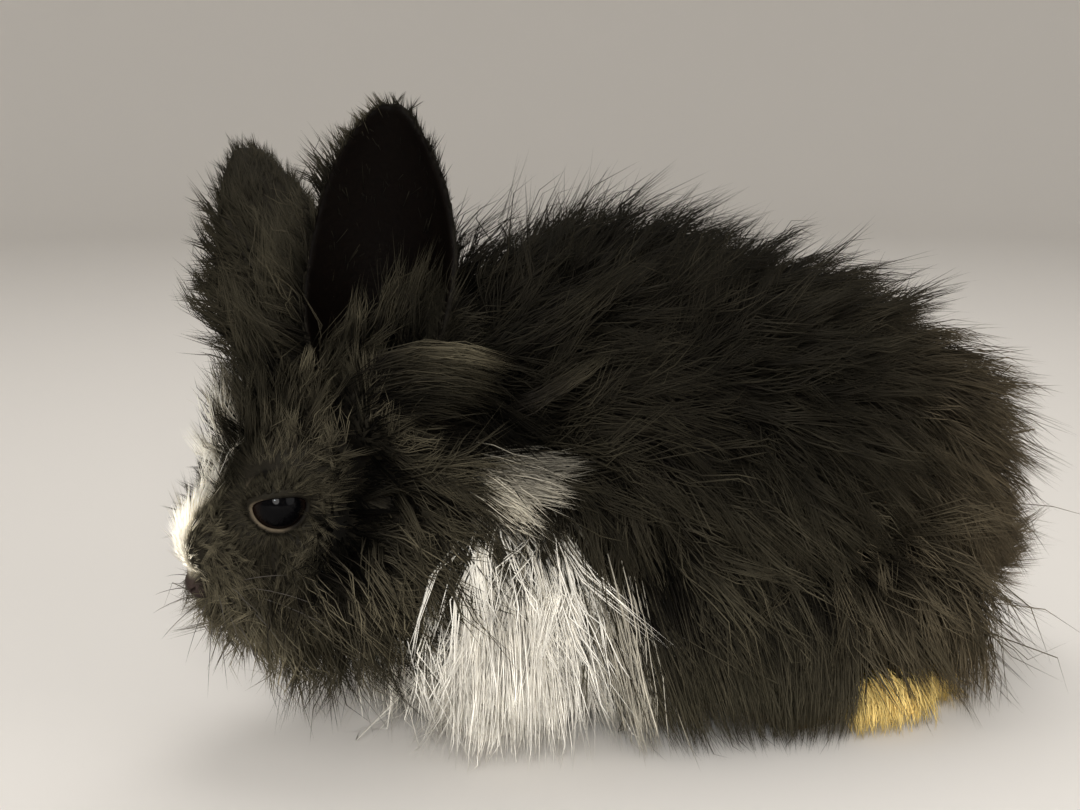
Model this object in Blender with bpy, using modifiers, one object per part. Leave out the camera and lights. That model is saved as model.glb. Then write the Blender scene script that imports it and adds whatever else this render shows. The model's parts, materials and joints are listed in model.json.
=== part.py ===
"""A young lionhead rabbit, crouched with its head low, as a still life-size model.

It faces -X, its left side is towards -Y, and its paws and feet rest on the floor at Z = 0.
Everything is modelled in millimetres, and each finished node is scaled to metres at the end.
The body is soft closed forms round named masses, with the wool as flat tapered locks fused on.
"""

import math
import random

import bmesh
import bpy
from mathutils import Matrix, Vector

MM = 0.001
SEED = 12
GAP = 0.3
FRAME_SHIFT = Vector((-5.6, 0.5, 0.0))

# The trunk under its coat: centre and radii of each mass
RIBS = ((-3, 0, 65), (40, 28, 40))
NAPE = ((-34, 0, 82), (24, 20, 20))
BELLY = ((33, 0, 56), (42, 31, 41))
RUMP = ((66, 0, 50), (28, 29, 35))
FLANK = ((20, 0, 38), (50, 31, 24))
CHEST = ((-36, 0, 40), (17, 20, 22))
NECK = ((-52, 0, 62), (18, 19, 24))
CORE_DEPTH = 9.0

# The head: its own frame, nose towards local -X
HEAD_CENTRE = Vector((-80, -3, 57))
HEAD_PITCH = math.radians(34)
HEAD_YAW = math.radians(10)
CRANIUM = ((8, 0, 6), (22, 17.5, 18))
MIDFACE = ((-8, 0, 1), (18, 14.5, 15))
BRIDGE = ((-17, 0, 5), (13, 9.5, 9.5))
MUZZLE = ((-19, 0, -3), (12, 10, 10.5))
CHEEK = ((-5, 9.5, -7), (14, 9, 11))
LIP_PAD = ((-25.2, 3.9, -6.2), (6.2, 4.6, 5.2))
CHIN = ((-20, 0, -13), (7.5, 6, 4.5))
NOSE = ((-30, 0, -0.8), (2.8, 3.8, 3.4))
FACE_FUR = 1.2
CHEEK_WOOL = ((-5, 9, -15), (15, 11, 13))
MANE = ((14, 0, -6), (27, 24, 27))
BIB = ((-72, -2, 36), (23, 24, 24))

EYE_CENTRE = Vector((-7.2, 12.0, 7.6))
EYE_RADIUS = 6.6
LID_OFFSET = 3.3
LID_RING = 6.0
LID_THICKNESS = 1.3

# The plane that parts the head from the trunk
NECK_CUT = Vector((-47, 0, 55))
NECK_CUT_TILT = math.radians(4)

# Ears: the root, the tip and the way the cup opens, on each side
EAR_BASE = {"left": Vector((-65, -14, 84)), "right": Vector((-76, 9, 84))}
EAR_TIP = {"left": Vector((-66, -31, 143)), "right": Vector((-88, 29, 131))}
EAR_OPENING = {"left": Vector((-0.42, -0.9, 0.1)), "right": Vector((-0.45, 0.89, 0.1))}
EAR_WIDTH = 33.0
EAR_THICKNESS = 1.8
EAR_SET_BACK = 7.4
EAR_BOW = 4.0
EAR_ROWS = 9
EAR_COLUMNS = 8
EAR_ROOT = (10.0, 10.0, 12.5)
EAR_ROOT_DEPTH = 6.0
EAR_ROOT_FORWARD = 1.0

# Legs: the near one of each pair is on the left
FOREPAW = {"left": Vector((-32, -18, 0)), "right": Vector((-35, 17, 0))}
HIND_FOOT = {"left": Vector((49, -35, 0)), "right": Vector((45, 35, 0))}
HIND_FOOT_LENGTH = 48.0
TOE_COUNT = 4

# Tail
TAIL = ((104, 0, 27), (9, 9, 12))

# Wool: length, width and thickness of a lock in each place, then the range of the angle
# in degrees at which it leaves the skin and at which it ends
TRUNK_LOCK = (29.0, 14.0, 3.2)
TRUNK_SPACING = 13.6
TRUNK_RISE = (36.0, 52.0)
TRUNK_TIP_RISE = (0.0, 18.0)
TRUNK_COAT_FRONT = -56.0
RUMP_SHORTER = 0.25
FRINGE_LONGER = 35.0
FRINGE_WIDER = 0.2
FRINGE_HANG = 0.9
MANE_LOCK = (23.0, 11.5, 3.0)
MANE_SPACING = 10.8
MANE_RISE = (30.0, 44.0)
MANE_TIP_RISE = (-4.0, 10.0)
MANE_BEHIND_FACE = -4.0
MANE_BELOW_FACE = -13.0
MANE_FROM_EYE = 15.0
THROAT_LONGER = 10.0
THROAT_HANG = 0.4
FORELOCK_LONGER = 6.0
TAIL_LOCK = (15.0, 8.0, 2.6)
TAIL_SPACING = 10.0
TAIL_RISE = (40.0, 5.0)
SCATTER_TRIES = 8000
UNDERSIDE = -0.75
TRUNK_SINK = 4.0
MANE_SINK = 3.0
SHORTEST_LOCK = 4.0
SHORTENING = 0.93
LOWEST_TIP = 1.2
LOCK_STEPS = (0.0, 0.36, 0.7, 1.0)
LOCK_WIDTHS = (0.8, 1.0, 0.72)
LOCK_RIDGES = (1.0, 1.0, 0.7)

WORLD = Matrix()
HEAD_TURN = Matrix.Rotation(HEAD_YAW, 4, "Z") @ Matrix.Rotation(-HEAD_PITCH, 4, "Y")
HEAD_FRAME = Matrix.Translation(HEAD_CENTRE) @ HEAD_TURN
SIDE_SIGN = {"left": -1, "right": 1}


# Scene and mesh helpers


def clear_scene():
    for obj in list(bpy.data.objects):
        bpy.data.objects.remove(obj, do_unlink=True)


def new_collection(name):
    collection = bpy.data.collections.new(name)
    bpy.context.scene.collection.children.link(collection)
    return collection


def discard(collection):
    for obj in list(collection.objects):
        bpy.data.objects.remove(obj, do_unlink=True)
    bpy.data.collections.remove(collection)


def object_from(bm, name, collection):
    bmesh.ops.recalc_face_normals(bm, faces=bm.faces)
    mesh = bpy.data.meshes.new(name)
    bm.to_mesh(mesh)
    bm.free()
    obj = bpy.data.objects.new(name, mesh)
    collection.objects.link(obj)
    return obj


def applied(obj):
    """Replaces the object's mesh by what its modifiers make."""
    graph = bpy.context.evaluated_depsgraph_get()
    mesh = bpy.data.meshes.new_from_object(obj.evaluated_get(graph))
    obj.modifiers.clear()
    obj.data = mesh
    return obj


def add_ball(bm, mass, frame=WORLD, grow=0.0, side=1, detail=3):
    """An ellipsoid of the mass, grown by some millimetres; side -1 mirrors its Y."""
    centre, radii = mass
    place = Matrix.Translation((centre[0], centre[1] * side, centre[2]))
    size = Matrix.Diagonal((*[radius + grow for radius in radii], 1))
    bmesh.ops.create_icosphere(bm, subdivisions=detail, radius=1, matrix=frame @ place @ size)


def ball(name, collection, mass, frame=WORLD, grow=0.0, side=1, detail=3):
    bm = bmesh.new()
    add_ball(bm, mass, frame, grow, side, detail)
    return object_from(bm, name, collection)


def block(name, collection, low, high, frame=WORLD):
    """A box between two corners of the frame."""
    centre = (Vector(low) + Vector(high)) / 2
    size = Vector(high) - Vector(low)
    bm = bmesh.new()
    place = frame @ Matrix.Translation(centre) @ Matrix.Diagonal((*size, 1))
    bmesh.ops.create_cube(bm, size=1, matrix=place)
    return object_from(bm, name, collection)


def soft_form(bm, name, collection, voxel, smoothing, triangles):
    """One closed surface round all the balls, smoothed where they join."""
    obj = object_from(bm, name, collection)
    remesh = obj.modifiers.new("Remesh", "REMESH")
    remesh.mode = "VOXEL"
    remesh.voxel_size = voxel
    smooth = obj.modifiers.new("Smooth", "SMOOTH")
    smooth.factor = 0.5
    smooth.iterations = smoothing
    applied(obj)
    decimate = obj.modifiers.new("Decimate", "DECIMATE")
    decimate.ratio = triangles / (2 * len(obj.data.polygons))
    decimate.use_collapse_triangulate = True
    return applied(obj)


def grown_copy(obj, collection, grow):
    """The same closed form, pushed out along its normals."""
    copy = bpy.data.objects.new(obj.name + "_clearance", obj.data.copy())
    collection.objects.link(copy)
    displace = copy.modifiers.new("Displace", "DISPLACE")
    displace.mid_level = 0
    displace.strength = grow
    return applied(copy)


def boolean(obj, operation, collection):
    """Joins or cuts with every object of the collection at once, then removes them."""
    modifier = obj.modifiers.new("Boolean", "BOOLEAN")
    modifier.operation = operation
    modifier.operand_type = "COLLECTION"
    modifier.collection = collection
    modifier.solver = "MANIFOLD"
    applied(obj)
    discard(collection)


def shells_of(bm):
    """The connected sets of faces."""
    left = set(bm.faces)
    while left:
        shell = set()
        border = [left.pop()]
        while border:
            face = border.pop()
            shell.add(face)
            for edge in face.edges:
                fresh = left.intersection(edge.link_faces)
                left -= fresh
                border.extend(fresh)
        yield shell


def volume_of(shell):
    corners = ([vert.co for vert in face.verts] for face in shell)
    return sum(a.dot(b.cross(c)) for a, b, c in corners) / 6


def keep_largest(obj):
    """Drops every closed surface but the one of the largest volume."""
    bm = bmesh.new()
    bm.from_mesh(obj.data)
    bmesh.ops.triangulate(bm, faces=bm.faces)
    best = max(shells_of(bm), key=volume_of)
    loose = [face for face in bm.faces if face not in best]
    bmesh.ops.delete(bm, geom=loose, context="FACES")
    bm.to_mesh(obj.data)
    bm.free()


def blend(low, high, value):
    """0 below low, 1 above high, smooth between."""
    share = min(1.0, max(0.0, (value - low) / (high - low)))
    return share * share * (3 - 2 * share)


# Locks of wool


def lock_line(root, normal, flow, length, rise, hang, sink):
    """The centre line of a lock, as (point, heading) pairs from its sunk root to its tip."""
    along = (flow - normal * flow.dot(normal)).normalized()
    point = root - normal * sink
    line = []
    for index, share in enumerate(LOCK_STEPS):
        angle = math.radians(rise[0] + (rise[1] - rise[0]) * share)
        heading = along * math.cos(angle) + normal * math.sin(angle)
        heading = (heading + Vector((0, 0, -hang * share))).normalized()
        if index:
            point = point + heading * (length + sink) * (share - LOCK_STEPS[index - 1])
        line.append((point, heading))
    return line


def lock_above_floor(root, normal, flow, length, rise, hang, sink, width):
    """The line of the lock, shortened until no part of it reaches the floor."""
    corner_below = width * 0.15
    while length > SHORTEST_LOCK:
        line = lock_line(root, normal, flow, length, rise, hang, sink)
        clearances = [point.z - LOWEST_TIP for point, _ in line]
        clearances[-2] -= corner_below
        if min(clearances) > 0:
            return line
        length *= SHORTENING
    return None


def lock(collection, line, normal, width, thickness, grow=0.0):
    """A flat tapered body along the line, with a low ridge on its outer face."""
    bm = bmesh.new()
    rings = []
    for index, (point, heading) in enumerate(line[:-1]):
        across = heading.cross(normal).normalized()
        up = across.cross(heading).normalized()
        half = width * LOCK_WIDTHS[index] / 2 + grow
        ridge = thickness * LOCK_RIDGES[index] / 2 + grow
        corners = (
            point - across * half - up * ridge * 0.5,
            point + across * half - up * ridge * 0.5,
            point + up * ridge,
        )
        rings.append([bm.verts.new(corner) for corner in corners])
    tip_point, tip_heading = line[-1]
    tip = bm.verts.new(tip_point + tip_heading * grow)
    bm.faces.new(rings[0])
    for a, b in ((0, 1), (1, 2), (2, 0)):
        for ring, following in zip(rings, rings[1:]):
            bm.faces.new((ring[a], ring[b], following[b], following[a]))
        bm.faces.new((rings[-1][a], rings[-1][b], tip))
    bmesh.ops.triangulate(bm, faces=bm.faces)
    return object_from(bm, "lock", collection)


def scatter(obj, spacing, draw, allowed):
    """Evenly spread (point, normal) pairs on the surface, where allowed says so."""
    obj.data.calc_loop_triangles()
    faces = list(obj.data.loop_triangles)
    vertices = [vertex.co for vertex in obj.data.vertices]
    kept = []
    for face in draw.choices(faces, weights=[face.area for face in faces], k=SCATTER_TRIES):
        a, b, c = (vertices[index] for index in face.vertices)
        u, v = draw.random(), draw.random()
        if u + v > 1:
            u, v = 1 - u, 1 - v
        point = a + (b - a) * u + (c - a) * v
        if any((point - other).length < spacing for other, _ in kept):
            continue
        if allowed(point, face.normal):
            kept.append((point, face.normal.copy()))
    return kept


def turned(flow, normal, draw, most):
    """The flow, turned a little about the normal."""
    return Matrix.Rotation(draw.uniform(-most, most), 3, normal) @ flow


# The trunk


def trunk_core(collection):
    bm = bmesh.new()
    for mass in (RIBS, NAPE, BELLY, RUMP, FLANK, CHEST, NECK):
        add_ball(bm, mass, grow=CORE_DEPTH)
    return soft_form(bm, "trunk_core", collection, 3.0, 8, 620)


def trunk_flow(normal):
    """The lie of the coat: back along the spine, down the flanks, down the chest."""
    top = blend(0.3, 0.9, normal.z)
    front = blend(0.3, 0.85, -normal.x)
    flank = Vector((0.35, 0, -0.95))
    back = Vector((1.0, 0, 0.2))
    chest = Vector((0.1, 0, -1.0))
    return flank.lerp(back, top).lerp(chest, front)


def on_trunk(point, normal):
    return normal.z > UNDERSIDE and point.x > TRUNK_COAT_FRONT


def trunk_locks(core, collection, draw):
    for point, normal in scatter(core, TRUNK_SPACING, draw, on_trunk):
        flow = turned(trunk_flow(normal), normal, draw, 0.35)
        low = blend(55, 20, point.z)
        rump = blend(0.3, 0.9, normal.x)
        length = TRUNK_LOCK[0] * draw.uniform(0.85, 1.15) * (1 - RUMP_SHORTER * rump)
        length += FRINGE_LONGER * low
        width = TRUNK_LOCK[1] * draw.uniform(0.85, 1.2) * (1 + FRINGE_WIDER * low)
        rise = (draw.uniform(*TRUNK_RISE) - 6 * low, draw.uniform(*TRUNK_TIP_RISE) + 12 * low)
        hang = FRINGE_HANG * low
        line = lock_above_floor(point, normal, flow, length, rise, hang, TRUNK_SINK, width)
        if line:
            lock(collection, line, normal, width, TRUNK_LOCK[2])


# The head


def head_core(collection):
    bm = bmesh.new()
    for mass in (CRANIUM, MIDFACE, BRIDGE, MUZZLE, CHIN):
        add_ball(bm, mass, HEAD_FRAME, grow=FACE_FUR)
    for side in (-1, 1):
        add_ball(bm, CHEEK, HEAD_FRAME, grow=FACE_FUR, side=side)
        add_ball(bm, CHEEK_WOOL, HEAD_FRAME, side=side)
        add_ball(bm, LIP_PAD, HEAD_FRAME, side=side)
    add_ball(bm, NOSE, HEAD_FRAME)
    add_ball(bm, MANE, HEAD_FRAME)
    add_ball(bm, BIB)
    return soft_form(bm, "head_core", collection, 1.2, 3, 1500)


def add_lids(collection):
    """A ring of lid round each eye, flatter above, its front corner lower."""
    for side in (-1, 1):
        centre = Vector((EYE_CENTRE.x, (EYE_CENTRE.y + LID_OFFSET) * side, EYE_CENTRE.z))
        turn = Matrix.Rotation(math.radians(-14), 4, "Y") @ Matrix.Rotation(math.radians(90), 4, "X")
        shape = Matrix.Diagonal((1.08, 0.9, 1.0, 1.0))
        bpy.ops.mesh.primitive_torus_add(
            major_segments=18, minor_segments=6, major_radius=LID_RING, minor_radius=LID_THICKNESS
        )
        ring = bpy.context.object
        ring.data.transform(HEAD_FRAME @ Matrix.Translation(centre) @ turn @ shape)
        for holder in ring.users_collection:
            holder.objects.unlink(ring)
        collection.objects.link(ring)


def face_cuts(collection):
    """The line of the mouth, the split of the lip and the nostrils."""
    for side in (-1, 1):
        lean = Matrix.Rotation(0.6 * side, 4, "X")
        nostril_frame = HEAD_FRAME @ Matrix.Translation((-32.0, 1.9 * side, -0.4)) @ lean
        ball("nostril", collection, ((0, 0, 0), (1.6, 1.2, 0.5)), nostril_frame, detail=2)
    ball("mouth", collection, ((-24, 0, -10.6), (9.0, 6.5, 0.5)), HEAD_FRAME)
    ball("philtrum", collection, ((-30.8, 0, -6.0), (2.4, 0.35, 4.0)), HEAD_FRAME, detail=2)


def on_mane(point, normal):
    """The wool of the cheeks, throat and crown, clear of the face, the eyes and the ears."""
    local = HEAD_FRAME.inverted() @ point
    from_eye = Vector((local.x, abs(local.y), local.z)) - EYE_CENTRE
    if local.x < MANE_BEHIND_FACE and local.z > MANE_BELOW_FACE:
        return False
    return from_eye.length > MANE_FROM_EYE and normal.x < 0.8 and normal.z > -0.85


def between_ears(point):
    """1 on the crown in front of and between the ears."""
    return blend(76, 84, point.z) * blend(-60, -70, point.x)


def mane_flow(point):
    """The lie of the mane: up and back on the crown, back and down on the cheeks."""
    crown = blend(68, 88, point.z)
    cheek = Vector((0.4, 0.0, -1.0))
    top = Vector((0.7, 0.0, 0.5))
    forelock = Vector((-0.1, 0.0, 1.0))
    return cheek.lerp(top, crown).lerp(forelock, between_ears(point))


def mane_locks(core, collection, draw):
    for point, normal in scatter(core, MANE_SPACING, draw, on_mane):
        flow = turned(mane_flow(point), normal, draw, 0.45)
        low = blend(60, 25, point.z)
        tuft = between_ears(point)
        length = MANE_LOCK[0] * draw.uniform(0.8, 1.2)
        length += THROAT_LONGER * low + FORELOCK_LONGER * tuft
        width = MANE_LOCK[1] * draw.uniform(0.8, 1.2)
        root_rise = draw.uniform(*MANE_RISE) + 15 * tuft
        tip_rise = draw.uniform(*MANE_TIP_RISE) - 15 * low + 40 * tuft
        rise = (root_rise, tip_rise)
        hang = THROAT_HANG * low
        line = lock_above_floor(point, normal, flow, length, rise, hang, MANE_SINK, width)
        if line:
            lock(collection, line, normal, width, MANE_LOCK[2])


def eye(name, collection, clearances, side):
    mass = (tuple(EYE_CENTRE), (EYE_RADIUS,) * 3)
    ball(name, collection, mass, HEAD_FRAME, side=SIDE_SIGN[side])
    ball("clearance", clearances, mass, HEAD_FRAME, grow=GAP, side=SIDE_SIGN[side])


# The ears


def ear_half_width(share):
    """A narrow root, an oval blade and a pointed tip."""
    return EAR_WIDTH / 2 * math.sin(math.pi * (0.14 + 0.86 * share)) ** 0.62


def ear_shell(name, collection, side, grow):
    base, tip = EAR_BASE[side], EAR_TIP[side]
    length = (tip - base).length
    axis = (tip - base) / length
    opening = EAR_OPENING[side]
    opening = (opening - axis * opening.dot(axis)).normalized()
    across = axis.cross(opening)
    bm = bmesh.new()
    rows = []
    for i in range(EAR_ROWS + 1):
        share = 0.97 * i / EAR_ROWS
        curl = math.radians(100 - 60 * blend(0.0, 0.8, share))
        radius = ear_half_width(share) / math.sin(min(curl, math.pi / 2))
        curl += grow / radius
        reach = axis * (length * share + grow * (2 * i / EAR_ROWS - 1))
        bow = EAR_SET_BACK + EAR_BOW * math.sin(math.pi * share)
        middle = base + reach - opening * bow
        row = []
        for j in range(EAR_COLUMNS + 1):
            turn = curl * (2 * j / EAR_COLUMNS - 1)
            out = across * math.sin(turn) + opening * (1 - math.cos(turn))
            row.append(bm.verts.new(middle + out * radius))
        rows.append(row)
    for row, following in zip(rows, rows[1:]):
        for j in range(EAR_COLUMNS):
            bm.faces.new((row[j], row[j + 1], following[j + 1], following[j]))
    shell = object_from(bm, name, collection)
    solidify = shell.modifiers.new("Solidify", "SOLIDIFY")
    solidify.thickness = EAR_THICKNESS + 2 * grow
    solidify.offset = 0
    return applied(shell)


def ear(name, collection, clearances, side):
    """The cupped blade on its root, and its clearance."""
    centre = EAR_BASE[side] + EAR_OPENING[side] * EAR_ROOT_FORWARD
    root = (tuple(centre - Vector((0, 0, EAR_ROOT_DEPTH))), EAR_ROOT)
    shell = ear_shell(name, collection, side, 0.0)
    pieces = new_collection("pieces")
    ball("root", pieces, root, detail=2)
    boolean(shell, "UNION", pieces)
    keep_largest(shell)
    ear_shell("clearance", clearances, side, GAP)
    ball("clearance", clearances, root, grow=GAP + 0.1, detail=2)


# The legs


def leg_form(name, collection, clearances, masses, frame, triangles):
    """A leg round its masses, cut flat where it stands on the floor, and its clearance."""
    bm = bmesh.new()
    for mass in masses:
        add_ball(bm, mass, frame, detail=2)
    leg = soft_form(bm, name, collection, 1.0, 2, triangles)
    grown_copy(leg, clearances, 2 * GAP)
    floor = new_collection("floor")
    block("floor", floor, (-200, -200, -50), (200, 200, 0))
    boolean(leg, "DIFFERENCE", floor)
    keep_largest(leg)
    return leg


def toes(front, width, radius, height):
    spread = [width * (index / (TOE_COUNT - 1) - 0.5) for index in range(TOE_COUNT)]
    return [((front + 0.09 * y * y, y, height), (radius * 1.9, radius, radius * 1.3)) for y in spread]


def foreleg(name, collection, clearances, side):
    masses = [
        ((7, 0, 38), (9, 7.5, 15)),
        ((4, 0, 21), (7, 6.5, 14)),
        ((1, 0, 8), (6.5, 6, 7)),
        ((-4, 0, 3.6), (9.5, 6.3, 4.6)),
    ]
    masses += toes(-11, 8.6, 2.1, 2.3)
    frame = Matrix.Translation(FOREPAW[side])
    return leg_form(name, collection, clearances, masses, frame, 330)


def hindleg(name, collection, clearances, side):
    half = HIND_FOOT_LENGTH / 2
    inward = -SIDE_SIGN[side]
    masses = [
        ((half - 8, 0, 6.5), (8.5, 6.5, 7.5)),
        ((0, 0, 4.6), (half - 3, 6.8, 5.8)),
        ((-half + 11, 0, 4.4), (10.5, 7.8, 5.4)),
        ((half - 13, 2 * inward, 16), (10, 8, 11)),
        ((half - 20, 5 * inward, 30), (14, 9, 14)),
    ]
    masses += toes(-half + 3, 10.5, 2.3, 2.5)
    frame = Matrix.Translation(HIND_FOOT[side])
    return leg_form(name, collection, clearances, masses, frame, 380)


# The tail


def tail(collection, clearances, draw):
    """A short upright tail, its locks swept up and back."""
    core = ball("tail", collection, TAIL, detail=2)
    ball("clearance", clearances, TAIL, grow=2 * GAP, detail=2)
    pieces = new_collection("pieces")
    for point, normal in scatter(core, TAIL_SPACING, draw, lambda point, normal: normal.x > -0.1):
        flow = turned(Vector((0.4, 0, 0.8)), normal, draw, 0.5)
        width = TAIL_LOCK[1] * draw.uniform(0.85, 1.15)
        length = TAIL_LOCK[0] * draw.uniform(0.8, 1.1)
        line = lock_line(point, normal, flow, length, TAIL_RISE, 0, MANE_SINK)
        lock(pieces, line, normal, width, TAIL_LOCK[2])
        lock(clearances, line, normal, width, TAIL_LOCK[2], grow=GAP)
    boolean(core, "UNION", pieces)
    keep_largest(core)


# Parting and finish


def part_at_neck(whole, collection):
    """Cuts the joined head and trunk into two nodes at the neck."""
    frame = Matrix.Translation(NECK_CUT) @ Matrix.Rotation(NECK_CUT_TILT, 4, "Y")
    cut_away = {"head": (-GAP / 2, 300), "torso": (-300, GAP / 2)}
    for name, (low, high) in cut_away.items():
        node = bpy.data.objects.new(name, whole.data.copy())
        collection.objects.link(node)
        cutters = new_collection("cutters")
        block("cutter", cutters, (low, -200, -200), (high, 200, 200), frame)
        boolean(node, "DIFFERENCE", cutters)
        keep_largest(node)
    bpy.data.objects.remove(whole, do_unlink=True)


def material(name, colour, roughness):
    made = bpy.data.materials.new(name)
    made.use_nodes = True
    shader = made.node_tree.nodes["Principled BSDF"]
    shader.inputs["Base Color"].default_value = (*colour, 1)
    shader.inputs["Roughness"].default_value = roughness
    shader.inputs["Metallic"].default_value = 0.0
    return made


def finish(collection):
    """Gives each node its material, its place in the frame and its size in metres."""
    wool = material("charcoal_wool", (0.03, 0.026, 0.02), 0.9)
    pale = material("white_wool", (0.6, 0.55, 0.46), 0.9)
    glossy = material("dark_eye", (0.006, 0.005, 0.004), 0.08)
    for obj in collection.objects:
        obj.data.transform(Matrix.Translation(FRAME_SHIFT))
        obj.data.transform(Matrix.Scale(MM, 4))
        obj.data.materials.clear()
        if obj.name.startswith("eye"):
            obj.data.materials.append(glossy)
            obj.data.shade_smooth()
        elif obj.name.startswith(("foreleg", "hindleg")):
            obj.data.materials.append(pale)
        else:
            obj.data.materials.append(wool)


def main():
    clear_scene()
    draw = random.Random(SEED)
    rabbit = new_collection("lionhead_rabbit")
    clearances = new_collection("clearances")
    for side in SIDE_SIGN:
        eye("eye_" + side, rabbit, clearances, side)
        ear("ear_" + side, rabbit, clearances, side)
        foreleg("foreleg_" + side, rabbit, clearances, side)
        hindleg("hindleg_" + side, rabbit, clearances, side)
    tail(rabbit, clearances, draw)

    bodies = new_collection("bodies")
    whole = head_core(bodies)
    lids = new_collection("lids")
    add_lids(lids)
    boolean(whole, "UNION", lids)
    features = new_collection("features")
    face_cuts(features)
    boolean(whole, "DIFFERENCE", features)

    pieces = new_collection("pieces")
    mane_locks(whole, pieces, draw)
    trunk = trunk_core(pieces)
    trunk_locks(trunk, pieces, draw)
    boolean(whole, "UNION", pieces)
    block("floor", clearances, (-200, -200, -50), (200, 200, LOWEST_TIP))
    boolean(whole, "DIFFERENCE", clearances)
    part_at_neck(whole, rabbit)
    finish(rabbit)


main()
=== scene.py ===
"""The looks of the lionhead rabbit: one skin, its eyes and claws, and a long wool coat of solid tufts.

Shapes are worked out in millimetres, in the frame of the masses below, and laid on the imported
model by its left eye. The coat is drawn from seeded numbers, so every run gives the same one.
"""

import json
import math

import bmesh
import bpy
import numpy as np
from mathutils import Matrix, Vector
from mathutils.kdtree import KDTree

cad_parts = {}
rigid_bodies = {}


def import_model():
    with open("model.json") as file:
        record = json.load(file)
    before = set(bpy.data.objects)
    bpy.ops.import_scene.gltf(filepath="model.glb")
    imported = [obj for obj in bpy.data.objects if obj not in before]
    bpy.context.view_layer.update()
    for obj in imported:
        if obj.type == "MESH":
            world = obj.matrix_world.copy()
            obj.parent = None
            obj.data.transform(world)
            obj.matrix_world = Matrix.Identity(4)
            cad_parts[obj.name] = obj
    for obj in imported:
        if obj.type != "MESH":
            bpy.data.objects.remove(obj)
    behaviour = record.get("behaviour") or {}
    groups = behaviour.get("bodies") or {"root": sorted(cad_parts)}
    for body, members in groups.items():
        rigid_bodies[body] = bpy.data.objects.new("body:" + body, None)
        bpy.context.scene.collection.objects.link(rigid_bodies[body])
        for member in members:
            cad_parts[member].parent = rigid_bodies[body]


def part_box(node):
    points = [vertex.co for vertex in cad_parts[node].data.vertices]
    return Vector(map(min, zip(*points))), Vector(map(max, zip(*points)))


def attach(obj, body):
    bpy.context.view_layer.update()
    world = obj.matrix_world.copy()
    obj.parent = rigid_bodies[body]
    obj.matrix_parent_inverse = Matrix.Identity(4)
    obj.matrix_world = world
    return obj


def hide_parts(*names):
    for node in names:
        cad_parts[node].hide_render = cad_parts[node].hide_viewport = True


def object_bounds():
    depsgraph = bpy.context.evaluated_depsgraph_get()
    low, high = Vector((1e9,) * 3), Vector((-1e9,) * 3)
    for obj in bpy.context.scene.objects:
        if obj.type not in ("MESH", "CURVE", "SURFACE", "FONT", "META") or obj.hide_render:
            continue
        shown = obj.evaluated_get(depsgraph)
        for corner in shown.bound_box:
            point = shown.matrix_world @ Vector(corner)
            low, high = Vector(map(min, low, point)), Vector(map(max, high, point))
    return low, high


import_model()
CAD_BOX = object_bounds()

MM = 0.001
SEED = 11
BODY = "root"

# The trunk: centre and radii of each mass of the skin
RIBS = ((-3, 0, 65), (40, 28, 40))
NAPE = ((-34, 0, 82), (24, 20, 20))
BELLY = ((33, 0, 56), (42, 31, 41))
RUMP = ((66, 0, 50), (28, 29, 35))
FLANK = ((20, 0, 38), (50, 31, 24))
CHEST = ((-36, 0, 40), (17, 20, 22))
NECK = ((-52, 0, 62), (18, 19, 24))
TAIL = ((101, 0, 27), (7, 6, 9))

# The head, in its own frame, nose towards local -X
HEAD_CENTRE = Vector((-80, -3, 57))
HEAD_PITCH = math.radians(34)
HEAD_YAW = math.radians(10)
CRANIUM = ((8, 0, 6), (22, 17.5, 18))
MIDFACE = ((-8, 0, 1), (18, 14.5, 15))
BRIDGE = ((-17, 0, 5), (13, 9.5, 9.5))
MUZZLE = ((-19, 0, -3), (12, 10, 10.5))
CHEEK = ((-5, 9.5, -7), (14, 9, 11))
LIP_PAD = ((-25.2, 3.9, -6.2), (6.2, 4.6, 5.2))
CHIN = ((-20, 0, -13), (7.5, 6, 4.5))
NOSE = ((-30, 0, -0.8), (2.8, 3.8, 3.4))
THROAT = ((-66, -2, 44), (16, 16, 20))
EYE_CENTRE = Vector((-7.2, 12.0, 7.6))
EYE_RADIUS = 6.6
LID_WIDE = 61
LID_UPPER = 24
LID_LOWER = 48
LID_STEPS = 56

# Ears: the root, the tip and the way the cup opens, on each side
EAR_BASE = {"left": Vector((-65, -14, 84)), "right": Vector((-76, 9, 84))}
EAR_TIP = {"left": Vector((-66, -31, 143)), "right": Vector((-88, 29, 131))}
EAR_OPENING = {"left": Vector((-0.42, -0.9, 0.1)), "right": Vector((-0.45, 0.89, 0.1))}
EAR_WIDTH = 32.0
EAR_THICKNESS = 1.7
EAR_SET_BACK = 7.4
EAR_BOW = 4.0

# Legs
FOREPAW = {"left": Vector((-32, -18, 0)), "right": Vector((-35, 17, 0))}
HIND_FOOT = {"left": Vector((49, -35, 0)), "right": Vector((45, 35, 0))}
HIND_FOOT_LENGTH = 48.0
TOE_COUNT = 4
# Toes of each foot: how far in front, the width they span, radius and height
FORE_TOES = (-11, 8.6, 2.0, 2.2)
HIND_TOES = (-HIND_FOOT_LENGTH / 2 + 3, 10.5, 2.2, 2.4)
SIDE_SIGN = {"left": -1, "right": 1}

WORLD = Matrix()
HEAD_TURN = Matrix.Rotation(HEAD_YAW, 4, "Z") @ Matrix.Rotation(-HEAD_PITCH, 4, "Y")
HEAD_FRAME = Matrix.Translation(HEAD_CENTRE) @ HEAD_TURN


def eye_centre(side):
    local = Vector((EYE_CENTRE.x, EYE_CENTRE.y * SIDE_SIGN[side], EYE_CENTRE.z))
    return HEAD_FRAME @ local


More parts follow.
